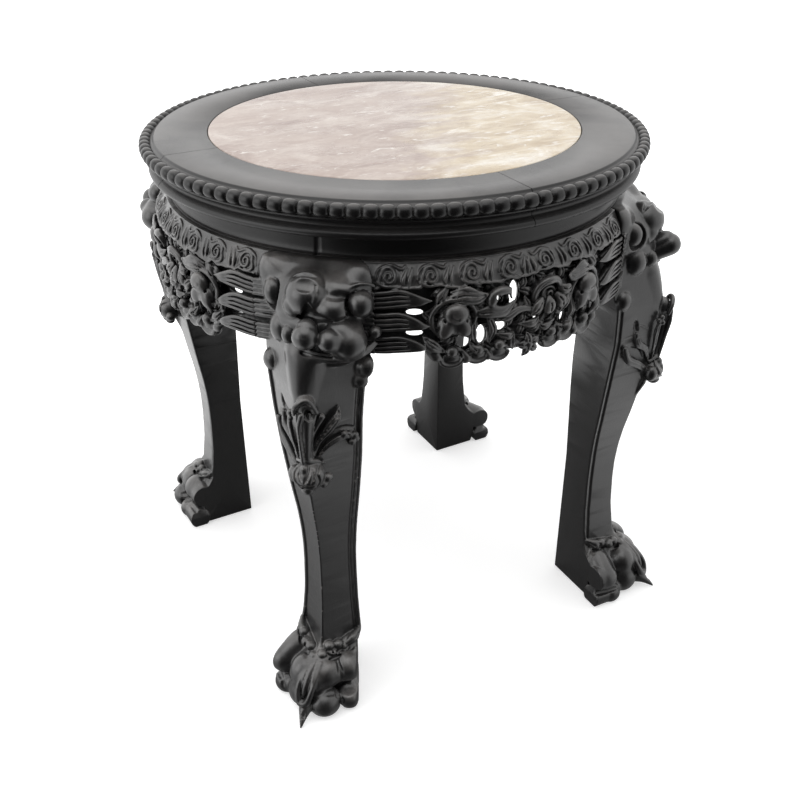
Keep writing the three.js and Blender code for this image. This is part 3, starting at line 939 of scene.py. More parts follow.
LEG_INNER_FACE = 115.0
LEG_TOP = 413.6
POST_SIDES = (115, 131)
POST_TOP = 432.7
APRON_FOOT = 343.0
LEG_VOXEL = 0.85
APRON_SPACE_RADIUS = 217.5
SEAL_FACE = 111.0
SEAL_RADIUS = 191.0
ROOT = math.sqrt(2)
LEG_LEVELS = (
    # height, outer face, rounding of the outer corner, inner face
    (0, 176, 30, 125.5),
    (10, 181, 30, 125.5),
    (22, 180, 26, 125.5),
    (36, 181, 22, 125.5),
    (44, 175.5, 12, 125.5),
    (53, 168.8, 5, 125.5),
    (62, 164.8, 2, 125.5),
    (95, 161, 1, 125.5),
    (127, 159.8, 1, 125.5),
    (146, 159.8, 1, 125.5),
    (165, 160.8, 1, 125),
    (184, 162.8, 1, 124.5),
    (203, 165.8, 1.2, 124),
    (221, 168.3, 1.5, 123.5),
    (253, 172.5, 2.5, 123),
    (290, 176.3, 6, 123.5),
    (325, 177.8, 9, 121),
    (340, 176.5, 12, 116),
    (352, 175, 15, 115),
    (366, 172, 24, 115),
    (380, 169, 30, 115),
    (396, 168, 36, 115),
    (413.6, 168, 40, 115),
)

# distance from the arris, height, lift, size
KNOTS_RIGHT = ((2.2, 52, 2.6, 4.6), (7.4, 57.4, 3, 4.8), (12.6, 51, 3, 3.9), (16, 56.4, 3.6, 4.6),
               (22, 53, 3, 3.8))
KNOTS_LEFT = ((4, 49.5, 3.2, 4.6), (9.5, 54, 4.4, 5), (16.6, 53.4, 4.8, 5.4), (24, 57.6, 5.2, 5),
              (30.5, 56, 5, 4.4))
# limit of the leg's reach from the table's axis near its top
CROWN_HEIGHTS = (352, 366, 380, 395, 405, 410, 413.6)
CROWN_RADII = (250, 236, 229, 221, 214, 209, 204)


def level_curve(column, z):
    heights = [level[0] for level in LEG_LEVELS]
    values = [level[column] for level in LEG_LEVELS]
    grid = np.linspace(0, heights[-1], 400)
    plain = np.interp(grid, heights, values)
    width = 8
    kernel = np.hanning(2 * width + 1)
    kernel /= kernel.sum()
    eased = np.convolve(np.pad(plain, width, mode="edge"), kernel, mode="valid")
    return np.interp(z, grid, eased)


def on_leg(w, z, lift=0):
    """Point on the leg's outer faces: w is the distance from the arris along the face."""
    blunt = 0.586 * level_curve(2, z)
    turning = max(blunt, 4)
    share = w / math.sqrt(w * w + turning * turning)
    outward = np.array([1, share]) / math.hypot(1, share)
    return np.array([
        ROOT * level_curve(1, z) - math.sqrt(w * w + blunt * blunt) / ROOT + lift * outward[0],
        w / ROOT + lift * outward[1],
        z,
    ])


def leg_points(stations):
    """Points for stations of (distance from the arris, height, lift)."""
    return [on_leg(*station) for station in stations]


def face_normal(hand):
    return (1 / ROOT, hand / ROOT, 0)


def leg_leaf(clay, stations, widths, hand, fullness, grooves):
    clay.leaf(leg_points(stations), widths, face_normal(hand), fullness, grooves, 0.4, 0.8)


def row_place(u, v):
    """Row coordinates of a place given outward and sideways on the leg's diagonal."""
    return (u - v) / ROOT, (u + v) / ROOT


def carve_body(clay):
    """The plain leg: two outer faces with an eased arris, cut off by the round top."""
    def body(u, v, z):
        x, y = row_place(u, v)
        outer = level_curve(1, z)
        rounding = level_curve(2, z)
        inner = level_curve(3, z)
        corner_x = np.maximum(x - outer + rounding, 0)
        corner_y = np.maximum(y - outer + rounding, 0)
        rounded = np.hypot(corner_x, corner_y) - rounding
        within = np.maximum(x, y) - outer
        front = np.where(within < -rounding, within, rounded)
        back = np.maximum(inner - x, inner - y)
        round_limit = np.hypot(x, y) - np.interp(z, CROWN_HEIGHTS, CROWN_RADII)
        return smooth_max(smooth_max(front, back, 1.2), round_limit, 2)

    clay.apply(body)


def edge_point(z, along, lift, hand):
    """Point by the inner edge of an outer face: along is measured from the edge towards the arris."""
    x = level_curve(3, z) + along
    y = level_curve(1, z) + lift
    return ((x + y) / ROOT, hand * (y - x) / ROOT, z)


def carve_edges(clay):
    """A thin bead along both side edges of the shank, with a channel beside it."""
    for hand in (-1, 1):
        heights = np.linspace(60, 330, 54)
        clay.stroke([edge_point(z, 5.6, 0.6, hand) for z in heights], 2.1, 0.8, cut=True)
        clay.stroke([edge_point(z, 1.9, -0.6, hand) for z in heights], 2, 0.4)
        clay.sweep(8, [edge_point(70, 2.2, -0.6, hand), edge_point(63, 2.6, 0.8, hand),
                       edge_point(60, 2.8, 2.6, hand)], (2.2, 1), 0.6)


def carve_mask(clay):
    """Beast mask on the knee: domed forehead, bulbous nose, ball eyes, cheeks and thick lips."""
    clay.ball((188, 3, 384), (45, 49, 29.5), 1.5)
    clay.ball((198, -26.5, 399.5), (15.5, 15, 13.5), 6)
    clay.stroke([(190, -29, 406), (201, -30.5, 396)], 9, 5)
    clay.ball((200, 33, 401), (14, 14.5, 12), 6)
    carve_nose(clay)
    carve_eyes(clay)
    carve_jaw(clay)
    carve_lips(clay)
    carve_knee_lobes(clay)


def carve_nose(clay):
    clay.ball((213, 24, 398), (14, 16, 9), 5)
    clay.ball((222, 1.8, 393.6), (17.6, 17.2, 16.4), 0.4)
    clay.ball((219.5, 26.5, 393), (9.8, 9.8, 8.8), 1.2)
    clay.ball((224.5, -7.5, 386.5), (11.5, 9.2, 10.4), 1.2)
    clay.ball((225.8, 21.4, 387), (12.4, 13.2, 9.8), 2.4)
    facet_axes = ((0.66, 0.10, 0.745), (-0.10, 0.993, -0.045), (-0.744, -0.045, 0.667))
    clay.ball((234.4, 4.4, 407.2), (4.8, 13, 7.4), 0.6, facet_axes, cut=True)
    clay.groove(22, [(221.5, -10, 403.6), (223.4, -5, 408.2), (224.6, 1, 410.4), (224.8, 8, 410.6),
                     (224, 13, 409.2), (223.6, 16, 406.8)], (0.8, 3.4, 2.8, 0.8), 0.4,
                at=(0, 0.4, 0.8, 1))
    clay.groove(10, [(239.5, 7, 395), (236.5, 6.2, 388), (230, 4.6, 378)], (0.8, 3.6, 5.2), 1.2)
    clay.groove(16, [(235.5, 11, 401.5), (233, 19, 400), (227.5, 28, 397.5), (221, 34.5, 394.5)],
                (1.2, 3, 2), 2.2)
    clay.groove(10, [(229, 10.5, 404.5), (234.5, 12.5, 400), (237, 11, 394)], (0.5, 1.4, 0.6), 0.9)


def carve_eyes(clay):
    for centre, radii, reach in (((215.8, -28, 389.6), (8.2, 7.5, 10.2), (2.8, 2.6)),
                                 ((219, 40.4, 389.4), (9.6, 9.6, 9.8), (1.7, 1.9))):
        u, v, z = centre
        hand = 1 if v > 0 else -1
        socket = (radii[0] + 1.6, radii[1] + reach[0], radii[2] + reach[1])
        clay.ball((u + 4.2, v + hand * 0.8, z - 0.2), socket, 0.8, cut=True)
        clay.ball(centre, radii, 0.2)
    clay.sweep(16, [(222.5, 29, 393.5), (221.5, 31.5, 400), (218.5, 38.5, 403.8), (213.5, 46.5, 402.6),
                    (208.5, 51, 397.5)], (0.8, 1.6, 0.8), 1.2)
    clay.groove(10, [(203.5, 40.5, 410), (205, 45.5, 404), (203, 51, 394)], (1, 3.6, 2), 1.2)
    clay.sweep(10, [(203.5, 44, 409), (204.8, 48.5, 403), (201, 54, 396)], (0.7, 1.4, 0.9), 0.3)


def carve_jaw(clay):
    """The hollow of the mouth and the thin folds of skin under it."""
    clay.ball((219, 8, 371), (17, 33, 14), 3)
    clay.groove(16, [(221, -16, 378.5), (229, -3, 380.5), (233.5, 9, 381.5), (232, 22, 382.5),
                     (224, 31, 385.5)], (2, 4.4, 2.8), 1.2)
    clay.sweep(28, [(216, -28, 357), (227, -14, 352.6), (234.5, 0, 351.6), (237, 14, 350.2),
                    (234, 29, 349.6), (225, 42, 352), (214, 48, 357)], (1.6, 2.5, 1.7), 2.4)
    clay.sweep(14, [(230, -9, 359), (237.5, 2, 356.6), (239.6, 12, 356), (238.6, 22, 354.6)],
               (0.9, 1.8, 0.9), 0.6)
    clay.groove(16, [(229, -13, 356.2), (237.5, -1, 354), (240.2, 11, 353.2), (238.6, 25, 352.4)],
                (0.8, 2.1, 0.9), 0.8)
    clay.sweep(14, [(236, 26, 353.4), (231, 36.5, 351), (222, 45, 352.4), (213, 50, 356)], (0.9, 2, 1),
               0.7)
    clay.groove(12, [(234.5, 24, 349), (228, 37, 347.6), (220, 44.5, 349.6)], (0.7, 1.7, 0.7), 0.9)
    clay.sweep(16, [(229.5, 2, 345.6), (230.5, 16, 343.4), (226.5, 28, 342.4), (219.5, 38, 345.4)],
               (0.9, 2, 1), 2)
    clay.groove(10, [(230, -6, 348.6), (233, 5, 347.2), (232.5, 16, 346.2)], (0.6, 1.4, 0.6), 0.8)
    for across, top, foot, size in ((-13, 350, 324, 5), (15, 346, 318, 5)):
        clay.stroke([on_leg(across, top, -size + 0.3), on_leg(across * 0.6, foot, -size - 1.2)],
                    [size, size * 0.7], 7)


def carve_lips(clay):
    clay.ball((218.8, -20.6, 363.6), (11.2, 10.6, 13.2), 0.3)
    clay.ball((231, -11.2, 364.4), (7.4, 5.8, 7.8), 0.2)
    clay.sweep(8, [(228, 3, 368.5), (238, 5.8, 373.5), (243, 7.4, 375.5)], 8, 0.3)
    clay.sweep(8, [(230, 3.8, 364), (241, 6, 369), (246.6, 7.4, 371.8)], (9.4, 9.7), 0.6)
    clay.groove(12, [(254.2, 1.6, 380), (257.2, 8, 376.6), (255, 15, 374.4)], (0.8, 2.3, 0.9), 0.6)
    clay.ball((241.6, 23.6, 368.6), (9.2, 8.6, 8.4), 0.2)
    clay.ball((230, 27, 373), (10, 9.4, 7.6), 1.2)
    clay.ball((229.4, 33.4, 363.4), (14, 14.2, 13.4), 5)
    clay.groove(10, [(236, 43, 382.4), (240.6, 46, 377.8), (238.6, 47.6, 371.4)], (0.9, 2.4, 0.8), 0.9)
    clay.ball((213.5, 49, 365.6), (5.4, 4.8, 4.8), 0.4)
    clay.stroke([(218.6, 49.4, 368.2), (219.4, 51.4, 366.2), (218.6, 50.8, 363.6)], [0.5, 1.2, 0.5], 0.4,
                cut=True)


def carve_knee_lobes(clay):
    clay.ball((213.8, -33, 331.6), (8.6, 8.6, 9.8), 0.4)
    clay.groove(12, [(222, -25, 341), (224, -22.5, 334), (222.5, -22.6, 325), (219, -26, 320)],
                (0.9, 1.9, 0.8), 0.8)
    clay.sweep(12, [(221, -22, 343), (225, -18.5, 335), (223.5, -18.5, 325), (221, -21, 315)],
               (2, 2.6, 1), 2.6)
    clay.ball((209, 40, 334), (9, 9.6, 9), 2.6)
    clay.ball((212.5, 35.5, 323.5), (6.8, 7.6, 7), 1.6)


def carve_mane_roots(clay):
    """The shoulders and strands that leave the mask's sides towards the aprons."""
    for side in (-1, 1):
        clay.ball(strand_point(side, 119, 204.5, 401), (10, 10, 13), 9)
        for top, low in ((393.8, 383), (377.4, 365.4), (357.4, 347)):
            for strand in range(4):
                height = top + (low - top) * strand / 3
                near = strand_point(side, 114, 214.6, height)
                middle = strand_point(side, 126, 212.8, height + 0.4)
                far = strand_point(side, 137, 208, height + 0.6)
                clay.sweep(8, [far, middle, near], 1.85, 0.25)


def strand_point(side, across, radius, height):
    """Point on a strand: across is the row coordinate that shrinks towards the apron."""
    other = math.sqrt(radius * radius - across * across)
    return ((across + other) / ROOT, side * (other - across) / ROOT, height)


def carve_spray(clay):
    """Acanthus leaves that fan out above a hanging blossom, a little to the right of the arris."""
    clay.sweep(14, leg_points([(2, 262, 3), (3, 280, 4.5), (4, 300, 5.5), (5.5, 313, 5)]), (3.2, 6), 0.8)
    carve_fan_shadows(clay)
    carve_cap(clay)
    planks = (
        ([(0.6, 265, 7.4), (0.6, 288, 8.4), (0.8, 301, 9.8), (1.9, 311, 9.8)], (1.5, 1.5, 2, 2.3)),
        ([(3, 266, 5.4), (3.2, 289, 6.4), (5, 305, 7), (6, 310, 7)], (1.5, 1.8, 2, 1.4)),
        ([(5, 268, 5), (5.8, 289, 6.2), (8.8, 304, 7), (10.6, 309, 6.6)], (1.2, 1.5, 2, 1.4)),
        ([(5.8, 266, 3.6), (7, 286, 4.6), (11, 296.5, 5.6), (15, 303, 5.4)], (1.1, 1.6, 2, 3)),
    )
    for stations, widths in planks:
        clay.sweep(16, leg_points(stations), widths, 0.25)
    clay.ball(on_leg(15.6, 304.4, 6), 3, 0.4)
    right = (
        ([(6.8, 265, 2.4), (12.8, 279.8, 3), (21.6, 290.3, 4), (28.8, 298.2, 4.2), (33.2, 307.4, 1.6)],
         (1.1, 2, 4.4, 3.8, 0.4), (0, 0.6)),
        ([(9.3, 261.5, 1.6), (18.1, 271.5, 2.6), (27.6, 276.8, 3.4), (35.2, 278, 3.2)],
         (1.4, 2.3, 2.9, 2.4), (0.45,)),
    )
    for stations, widths, grooves in right:
        leg_leaf(clay, stations, widths, 1, 0.7, grooves)
    for *place, size in ((34.4, 280.2, 2.6, 3), (38.4, 278.2, 2.8, 3.2), (43.2, 276, 2.2, 3.3),
                         (40.4, 270.4, 2.2, 3.4), (44.6, 271.4, 1.8, 2.6)):
        clay.ball(on_leg(*place), size, 0.35)
    clay.groove(6, leg_points([(36.4, 281.4, 5.2), (38.6, 274.6, 5.4)]), 0.8, 0.3)
    left = (
        ([(-8.5, 256, 3.2), (-20.8, 264.5, 3.6), (-32.4, 271.4, 3.2), (-39.4, 283.5, 2.2)],
         (2.8, 3.8, 3.9, 2.8), (-0.45,)),
        ([(-6.5, 263.8, 2.4), (-14, 278, 2.4), (-25.2, 286, 2.2), (-28.4, 295.5, 1.2)],
         (1.2, 3, 3.9, 2.4), (-0.1, 0.5)),
        ([(-3.5, 267, 3.6), (-6.6, 284, 4.4), (-8.2, 296, 4.8), (-6.6, 304.5, 5.2)],
         (1, 2.3, 2.8, 1.8), (0.1,)),
    )
    for stations, widths, grooves in left:
        leg_leaf(clay, stations, widths, -1, 0.75, grooves)
    for *place, size in ((-5.2, 308.6, 5, 2.5), (-4.4, 303.6, 6, 2.3), (-8, 306, 4.4, 2.2)):
        clay.ball(on_leg(*place), size, 0.4)
    carve_blossom(clay)


def carve_fan_shadows(clay):
    """Undercuts between the leaves of the spray, which make each one stand clear of the leg."""
    for stations, widths in (
        ([(7.6, 272, 1.6), (11.6, 287, 1.6), (18.5, 297, 1.4)], (1, 2.6, 2.2)),
        ([(10.5, 268, 0.6), (18.5, 278.5, 0.6), (26.5, 284.5, 0.6)], (1, 2.3, 2)),
        ([(26, 283.2, 0.4), (36, 284.6, 0.4), (46.5, 280.6, 0.4)], (1.6, 1.9, 1.4)),
        ([(-11.5, 268, 1), (-19, 279, 0.8), (-30, 283.5, 0.6)], (1, 2, 1.4)),
        ([(-3.4, 274, 2.6), (-4, 288, 2.8), (-4.6, 297, 3)], (0.9, 1.7, 1.2)),
        ([(-31.5, 308.5, 0.4), (-30, 303.5, 0), (-28.5, 298.5, 0.4)], (1.6, 3.2, 2.2)),
        ([(-27.5, 304.5, 0.2), (-21, 301, 0.2), (-15, 297.5, 0.4)], (1, 1.3, 0.6)),
    ):
        clay.groove(14, leg_points(stations), widths, 0.8)


def carve_cap(clay):
    """The arched hood at the top of the spray, hollow inside."""
    clay.ball(on_leg(5, 314.5, 3), (7.4, 7.4, 8.6), 0.8)
    clay.ball(on_leg(6, 311.5, 9.4), (4.4, 4.6, 6.2), 0.8, cut=True)
    clay.sweep(24, leg_points([(-0.8, 310.5, 7.4), (-0.2, 317, 8.8), (2.2, 322.4, 9.6), (5, 323.2, 9.8),
                               (8.2, 318.4, 9.4), (12, 309.6, 7.4)]), (1.6, 2.3, 2.3, 1.5), 0.4,
               at=(0, 0.3, 0.6, 1))
    clay.sweep(10, leg_points([(3.8, 318, 9), (6.6, 315.6, 8.8), (9, 310, 7.8)]), (0.9, 1.5, 0.8), 0.3)
    for w, z in ((0.2, 319), (3.4, 324.6), (7.4, 321.4)):
        clay.ball(on_leg(w, z, 9.6), 1.5, 0.6)


def carve_blossom(clay):
    """The hanging blossom under the spray, swirled, with a small ball at each side."""
    heart = np.array([245.8, 4, 251])
    across = np.array([-0.395, 0.918, 0])
    upward = np.array([-0.377, -0.162, 0.912])
    outward = np.array([0.838, 0.360, 0.410])
    size = 12.2

    def on_blossom(x, y, lift=0):
        depth = math.sqrt(max(size * size - x * x - y * y, 0))
        return heart + (1 + lift / size) * (x * across + y * upward + depth * outward)

    def line(places, widths, cut=True, soft=0.5, lift=0):
        clay.sweep(14, [on_blossom(x, y, lift) for x, y in places], widths, soft, cut)

    clay.sweep(16, leg_points([(-5.5, 262.5, 3.5), (1, 266, 6), (8.5, 263, 5), (16, 257, 2.2)]),
               (1.4, 2.2, 1), 0.5)
    clay.ball(heart, size, 0.4)
    clay.ball(heart - 3.2 * outward - 11.2 * across + 1.5 * upward, (6, 5, 7.4), 0.3)
    clay.ball(heart - 2.0 * outward + 14.4 * across - 3.2 * upward, (4.4, 3.6, 4), 0.3)
    clay.ball(heart - 3.0 * outward + 10.5 * across - 7.6 * upward, (5, 4.2, 4.2), 0.6)
    clay.ball(heart - 1.0 * outward - 1.5 * across - 11.0 * upward, (6, 5.6, 4.4), 0.5)
    line([(-5, 10.6), (4, 11.4), (11, 9)], (1, 2, 1.4), True, 0.6, 1.6)
    line([(-5.8, 9.6), (-10.6, 4.6), (-11.2, -1.6), (-6, -8.8)], (1, 1.7, 1.7, 1), False, 0.5, 0.4)
    line([(-6.4, 6.8), (-8.4, 1.6), (-6.4, -4.2)], (0.7, 1.9, 0.8), True, 0.5, 0.3)
    clay.ball(on_blossom(-3.6, 5.4) - 2.2 * outward, (3.8, 3.8, 4.8), 0.5)
    line([(-0.4, 8.6), (-0.8, 2), (-4.2, -5.2)], (0.6, 1.3, 0.7))
    line([(7.6, 8.2), (6, 1.6), (7.4, -5), (4.6, -9)], (0.8, 1.8, 1.5, 0.8))
    line([(2, 6.6), (3.2, 0.4), (1, -6)], (0.5, 1, 0.5))
    line([(-8, -6.4), (-1, -8.2), (5.6, -7)], (0.6, 1.4, 0.6))
    clay.sweep(8, leg_points([(-1, 238, 0.4), (-1.5, 229, -0.6), (-2, 221, -2)]), (3.6, 1.2), 1.5)


def carve_garland(clay, hand, knots):
    """Knotted ruffle round the ankle. knots are (distance from the arris, height, lift, size)."""
    shade = ((1.5, 44, 3), (12, 47, 4.4), (24, 48, 4.8), (36, 51, 3.4))
    band = ((1.5, knots[0][1] - 0.5, 1.2), (12, knots[2][1], 1.4), (25, 56.5, 1.4), (35, 58.5, 0.8))
    clay.groove(18, [on_leg(hand * w, z, lift) for w, z, lift in shade], 1.6, 1.6)
    clay.sweep(16, [on_leg(hand * w, z, lift) for w, z, lift in band], 3, 0.8)
    for w, z, lift, size in knots:
        clay.ball(on_leg(hand * w, z, lift), (size, size, size * 0.86), 0.35)
    for (w, z, lift, size), after in zip(knots[:-1], knots[1:]):
        near = on_leg(hand * w, z, lift)
        far = on_leg(hand * after[0], after[1], after[2])
        outward = np.array(face_normal(hand))
        middle = (near + far) / 2 + outward * (size * 0.72)
        clay.stroke([middle + (0, 0, 3.4), middle - (0, 0, 3.4)], [0.6, 1.1], 0.7, cut=True)
    leg_leaf(clay, [(hand * 23, 53.5, 3.4), (hand * 30, 57, 4.6), (hand * 36, 61.5, 2.4)], (2.6, 5, 2.4),
             hand, 0.8, (0.1,))


def foot_point(hand, along, out, z):
    return np.array([(along + out) / ROOT, hand * (out - along) / ROOT, z])


def toe_mass(clay, hand, place, radii, soft, cut=False):
    """A rounded mass on one outer face. place is (along, out, height), radii run out, along and up."""
    axes = (np.array(face_normal(hand)), np.array([1 / ROOT, -hand / ROOT, 0]), np.array([0, 0, 1]))
    clay.ball(foot_point(hand, *place), radii, soft, axes, cut)


def toe_path(clay, hand, places, radii, soft, cut=False, count=16):
    clay.sweep(count, [foot_point(hand, *place) for place in places], radii, soft, cut)


def side_toes(clay):
    """The toes of the side face that looks right from the front."""
    toe_path(clay, 1, ((143, 158, 50), (145, 166, 44), (147, 177.5, 36)), (6, 10.5, 13), 4)
    toe_path(clay, 1, ((112, 179, 35), (147, 178, 36)), (12.5, 13), 3)
    toe_mass(clay, 1, (147.5, 178.5, 36), (15, 14, 13.5), 4)
    toe_mass(clay, 1, (167, 175, 34), (15.5, 16, 15), 6)
    toe_path(clay, 1, ((112, 187, 9), (150, 187.5, 8.5)), (11, 11.5), 0.6)
    toe_mass(clay, 1, (151, 188.5, 8.5), (12.6, 11.6, 11.4), 0.5)
    toe_mass(clay, 1, (174, 187, 11.5), (14.4, 14.8, 13.4), 0.8)
    toe_path(clay, 1, ((112, 190, 20.5), (136, 192, 20.5), (147, 195, 21), (158, 193.5, 22.5),
                       (171, 193.5, 24.5), (183, 193, 27.5)), (2.8, 3, 3.6, 3.4, 2, 0.7), 1.2, True, 26)
    toe_mass(clay, 1, (155.5, 195, 21), (10, 11, 4.8), 1.4, True)
    toe_path(clay, 1, ((161.5, 201, 19), (161.5, 194, 10), (161.5, 192, 0)), (1.6, 2.6, 2.6), 1, True, 10)
    toe_path(clay, 1, ((157, 180, 47), (158, 189, 41), (158.5, 193, 34)), (0.8, 1.7, 1.2), 3, True, 10)


def inner_toes(clay):
    """The toes of the side face that looks left from the front."""
    toe_path(clay, -1, ((138, 159, 48), (137.5, 174, 41), (137, 190.5, 28.5)), (7, 11.5, 13), 3)
    toe_path(clay, -1, ((112, 188, 30), (137, 190, 28.5)), (12.5, 13), 1)
    toe_mass(clay, -1, (164.5, 180, 32), (16, 14.5, 17), 6)
    toe_path(clay, -1, ((112, 190, 8), (144, 190.5, 8)), (11, 11.5), 0.6)
    toe_mass(clay, -1, (144.5, 190.5, 7.5), (13.2, 12.4, 11.6), 0.6)
    toe_mass(clay, -1, (166.5, 184.5, 13), (14.6, 15.4, 16), 5)
    toe_path(clay, -1, ((112, 195, 17), (134, 198.5, 16), (147, 199.5, 16.5)), (2.4, 3, 2.4), 1.2, True)
    toe_path(clay, -1, ((150.5, 177, 48), (151, 190, 39), (150.5, 200, 29), (151.5, 200, 15),
                        (155.5, 201, 7), (155.5, 198, 0)), (0.7, 1.8, 2.6, 2.4, 1.8, 1.8), 1.2, True, 24)
    toe_path(clay, -1, ((174, 188, 36), (176, 193.5, 26), (178, 195.5, 14), (179, 195, 0)),
             (0.6, 1, 1.5, 1.4), 1.6, True)


def corner_toe(clay):
    """The toe on the diagonal: a rim in the shape of a U round a long raised nail, over a pointed claw."""
    clay.sweep(12, [(229, 0, 52), (240, -0.5, 44), (250, -1.5, 32)], (5, 12), 4)
    clay.ball((250.5, -2.5, 29), (14, 13.4, 15.5), 2.5)
    clay.ball((252.5, -3, 11.5), (12.8, 12.8, 12.2), 1)
    clay.sweep(44, [(241, -2, 51), (249.5, -7.8, 45), (259.5, -11.6, 34), (265.2, -12, 24.5),
                    (268.4, -8.6, 17.6), (269, -2.6, 20), (266.6, 0.6, 28), (259, 2.8, 38),
                    (247.5, 4.8, 49)], (1.2, 2.8, 3.6, 3.4, 2.2, 0.8), 1.2,
               at=(0, 0.3, 0.5, 0.66, 0.84, 1))
    clay.groove(16, [(246.5, -0.4, 50.5), (257, -3.4, 43.5), (266.4, -5.2, 33), (270.2, -6.6, 22.6)],
                (1.2, 3.8, 4, 2.4), 1.2, at=(0, 0.5, 0.85, 1))
    clay.sweep(16, [(243.6, -0.2, 50.6), (253.8, -3.2, 43.2), (261.8, -5, 33), (265.6, -6.4, 23.4)],
               (1.2, 3.2, 2.6, 1.6), 0.3, at=(0, 0.55, 0.9, 1))
    clay.sweep(10, [(260, -4.8, 12.5), (270, -4.8, 8.6), (281.2, -4.2, 0.9)], (8.6, 0.9), 0.8)
    clay.stroke([(272, -2.8, 14), (275.5, -3.6, 8.4)], [1, 1.9], 0.6, cut=True)


def carve_paw(clay):
    side_toes(clay)
    inner_toes(clay)
    corner_toe(clay)


def trim_front_paw(clay):
    """On the front leg the side toes die away towards the inner edges instead of ending flat."""
    for hand, start, slope in ((1, 157.5, 2), (-1, 172, 2.8)):
        def beyond(u, v, z, hand=hand, start=start, slope=slope):
            out = (u + hand * v) / ROOT
            along = (u - hand * v) / ROOT
            limit = start + slope * (along - LEG_INNER_FACE - 10.5) + np.maximum(z - 50, 0) * 1.2
            return np.maximum((limit - out) / math.hypot(1, slope), z - 64)

        clay.apply(beyond, soft=4, cut=True)
    toe_path(clay, 1, ((120, 150, 19.5), (128, 164, 19.5), (137, 180, 20.5), (146, 194, 21)),
             (5, 6, 5.4, 3.6), 2, True)


def corner_foot(z):
    """How far the inner corner steps out just above the floor."""
    return np.interp(z, [0, 11, 19], [3.6, 3.2, 0])


def carve_leg(front):
    clay = Clay((158, -66, -2), (284, 66, POST_TOP + 1.6), LEG_VOXEL)
    carve_body(clay)
    carve_edges(clay)
    carve_spray(clay)
    carve_paw(clay)
    if front:
        trim_front_paw(clay)
    carve_garland(clay, 1, KNOTS_RIGHT)
    carve_garland(clay, -1, KNOTS_LEFT)
    carve_mask(clay)
    carve_mane_roots(clay)

    def removed(u, v, z):
        x, y = row_place(u, v)
        radius = np.hypot(x, y)
        keep = np.maximum(-z, z - LEG_TOP)
        inside = np.maximum(level_curve(3, z) - x, level_curve(3, z) - y) - corner_foot(z)
        keep = np.maximum(keep, np.where(z < APRON_FOOT, inside, -10))
        for across in (x, y):
            within = np.maximum(across - LEG_INNER_FACE + 0.1, radius - APRON_SPACE_RADIUS)
            keep = np.maximum(keep, -np.maximum(within, APRON_FOOT - z))
        return -keep

    clay.apply(removed, cut=True)

    def post(u, v, z):
        x, y = row_place(u, v)
        low, high = POST_SIDES
        across = np.maximum(np.maximum(low - x, x - high), np.maximum(low - y, y - high))
        return np.maximum(across, np.maximum(LEG_TOP - 8 - z, z - POST_TOP))

    clay.apply(post)

    def seal(u, v, z):
        """A strip behind the joint with each apron, so that no light comes through."""
        x, y = row_place(u, v)
        radius = np.hypot(x, y)
        across = np.minimum(np.abs(x - SEAL_FACE), np.abs(y - SEAL_FACE)) - 4.6
        return np.maximum(np.maximum(across, np.abs(radius - SEAL_RADIUS) - 4),
                          np.maximum(APRON_FOOT + 4 - z, z - LEG_TOP))

    clay.apply(seal)
    return clay.surface()


def build_legs():
    for name, front, turns in (("leg_shape", False, (0, 1, 3)), ("front_leg_shape", True, (2,))):
        points, faces = carve_leg(front)
        x, y = row_place(points[:, 0], points[:, 1])
        leg = mesh_object(name, np.c_[x, y, points[:, 2]] * MM, faces, CARVED)
        thin_out(leg)
        for index in turns:
            piece = turned_copy(leg, f"carved_leg_{index + 1}", index * QUARTER)
            finish_piece(piece, "carved_wood", f"leg_{index + 1}")
        if 0 not in turns:
            bpy.data.objects.remove(leg)


build_marble()
build_frame()
build_waist()
build_aprons()
build_legs()

for node_name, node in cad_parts.items():
    if not node.hide_render:
        node.data.materials.clear()
        node.data.materials.append(BARE)


# Floor and light

FLOOR_PAINT = (0.72, 0.72, 0.72, 1)
# Grey of the painted shadow under the table, seen only by rays other than the camera's.
FLOOR_SHADE = (0.2, 0.2, 0.2, 1)
OPENING_SIDE = (-0.47, -0.88, 0.0)
TENT_DARK = 0.02
TENT_BRIGHT = 1.25
FLOOR_SHARE = 0.85


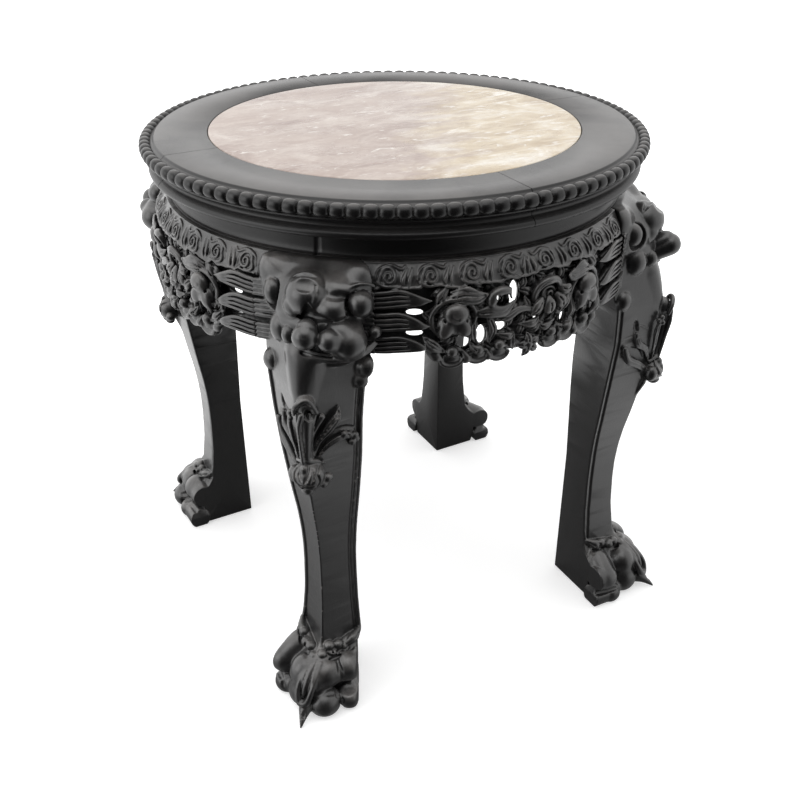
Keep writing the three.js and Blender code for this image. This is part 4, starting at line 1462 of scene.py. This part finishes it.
def add_stage():
    """A white floor for the camera. Other rays meet only a dark grey disc under the table, which is a
    painted shadow of the table on the floor.
    """
    bpy.ops.mesh.primitive_plane_add(size=40, location=(0, 0, -0.0005))
    floor = bpy.context.object
    floor.name = "floor"
    material = bpy.data.materials.new("floor_paint")
    n = Nodes(material)
    n.tree.nodes.remove(n.tree.nodes["Principled BSDF"])
    away = n.vector("LENGTH", n.add("NewGeometry", {}).outputs["Position"])
    paint = n.add("BsdfDiffuse", {"Color": FLOOR_PAINT}).outputs["BSDF"]
    glow = n.add("Emission", {"Strength": n.value_range(away, 0.30, 0.75, 0.50, 1.15)})
    seen = n.add("AddShader", {0: paint, 1: glow.outputs["Emission"]})
    # Painted shadow: a darker disc under the table, for reflections and bounced light.
    shade = n.add("BsdfDiffuse", {"Color": FLOOR_SHADE}).outputs["BSDF"]
    clear = n.add("BsdfTransparent", {}).outputs["BSDF"]
    reach = n.value_range(away, 0.20, 0.42, 0, 1, eased=True)
    under = n.add("MixShader", {"Fac": reach, 1: shade, 2: clear})
    n.split_view("Material Output", under.outputs["Shader"], seen.outputs["Shader"])
    floor.data.materials.append(material)


def add_light(name, place, size, power, target=(0, 0, 0.25)):
    data = bpy.data.lights.new(name, "AREA")
    data.size = size
    data.energy = power
    lamp = bpy.data.objects.new(name, data)
    lamp.location = place
    lamp.rotation_euler = (Vector(target) - Vector(place)).to_track_quat("-Z", "Y").to_euler()
    scene.collection.objects.link(lamp)


def add_world():
    """A white tent with a dark opening towards the viewer."""
    scene.world = bpy.data.worlds.new("world")
    n = Nodes(scene.world)
    direction = n.add("TexCoord", {}).outputs["Generated"]
    level = n.vector("NORMALIZE", n.vector("MULTIPLY", direction, (1, 1, 0)))
    towards = n.vector("DOT_PRODUCT", level, OPENING_SIDE)
    split = n.add("SeparateXYZ", {"Vector": direction}).outputs
    beside = n.value_range(n.math("MULTIPLY", towards, -1), -0.92, -0.40, 0, 1, eased=True)
    above = n.value_range(split["Z"], 0.50, 0.95, 0, 1, eased=True)
    left = n.value_range(split["X"], 0.9, -0.9, 0.85, 1.25, eased=True)
    below = n.value_range(split["Z"], -0.25, 0.05, FLOOR_SHARE, 1, eased=True)
    glow = n.math("MULTIPLY", n.math("MULTIPLY", n.math("MAXIMUM", beside, above), left), below)
    tent = n.tree.nodes["Background"]
    n.fill(tent, {
        "Color": (1, 1, 1, 1),
        "Strength": n.math("ADD", n.math("MULTIPLY", glow, TENT_BRIGHT), TENT_DARK),
    })
    seen = n.add("Background", {"Strength": 1.0})
    n.split_view("World Output", tent.outputs["Background"], seen.outputs["Background"])


add_stage()
add_world()
add_light("overhead", (-0.2, -0.3, 2.4), 2.4, 12)
add_light("left", (-2.2, -0.2, 1.1), 1.6, 9)
scene.view_settings.view_transform = "Standard"
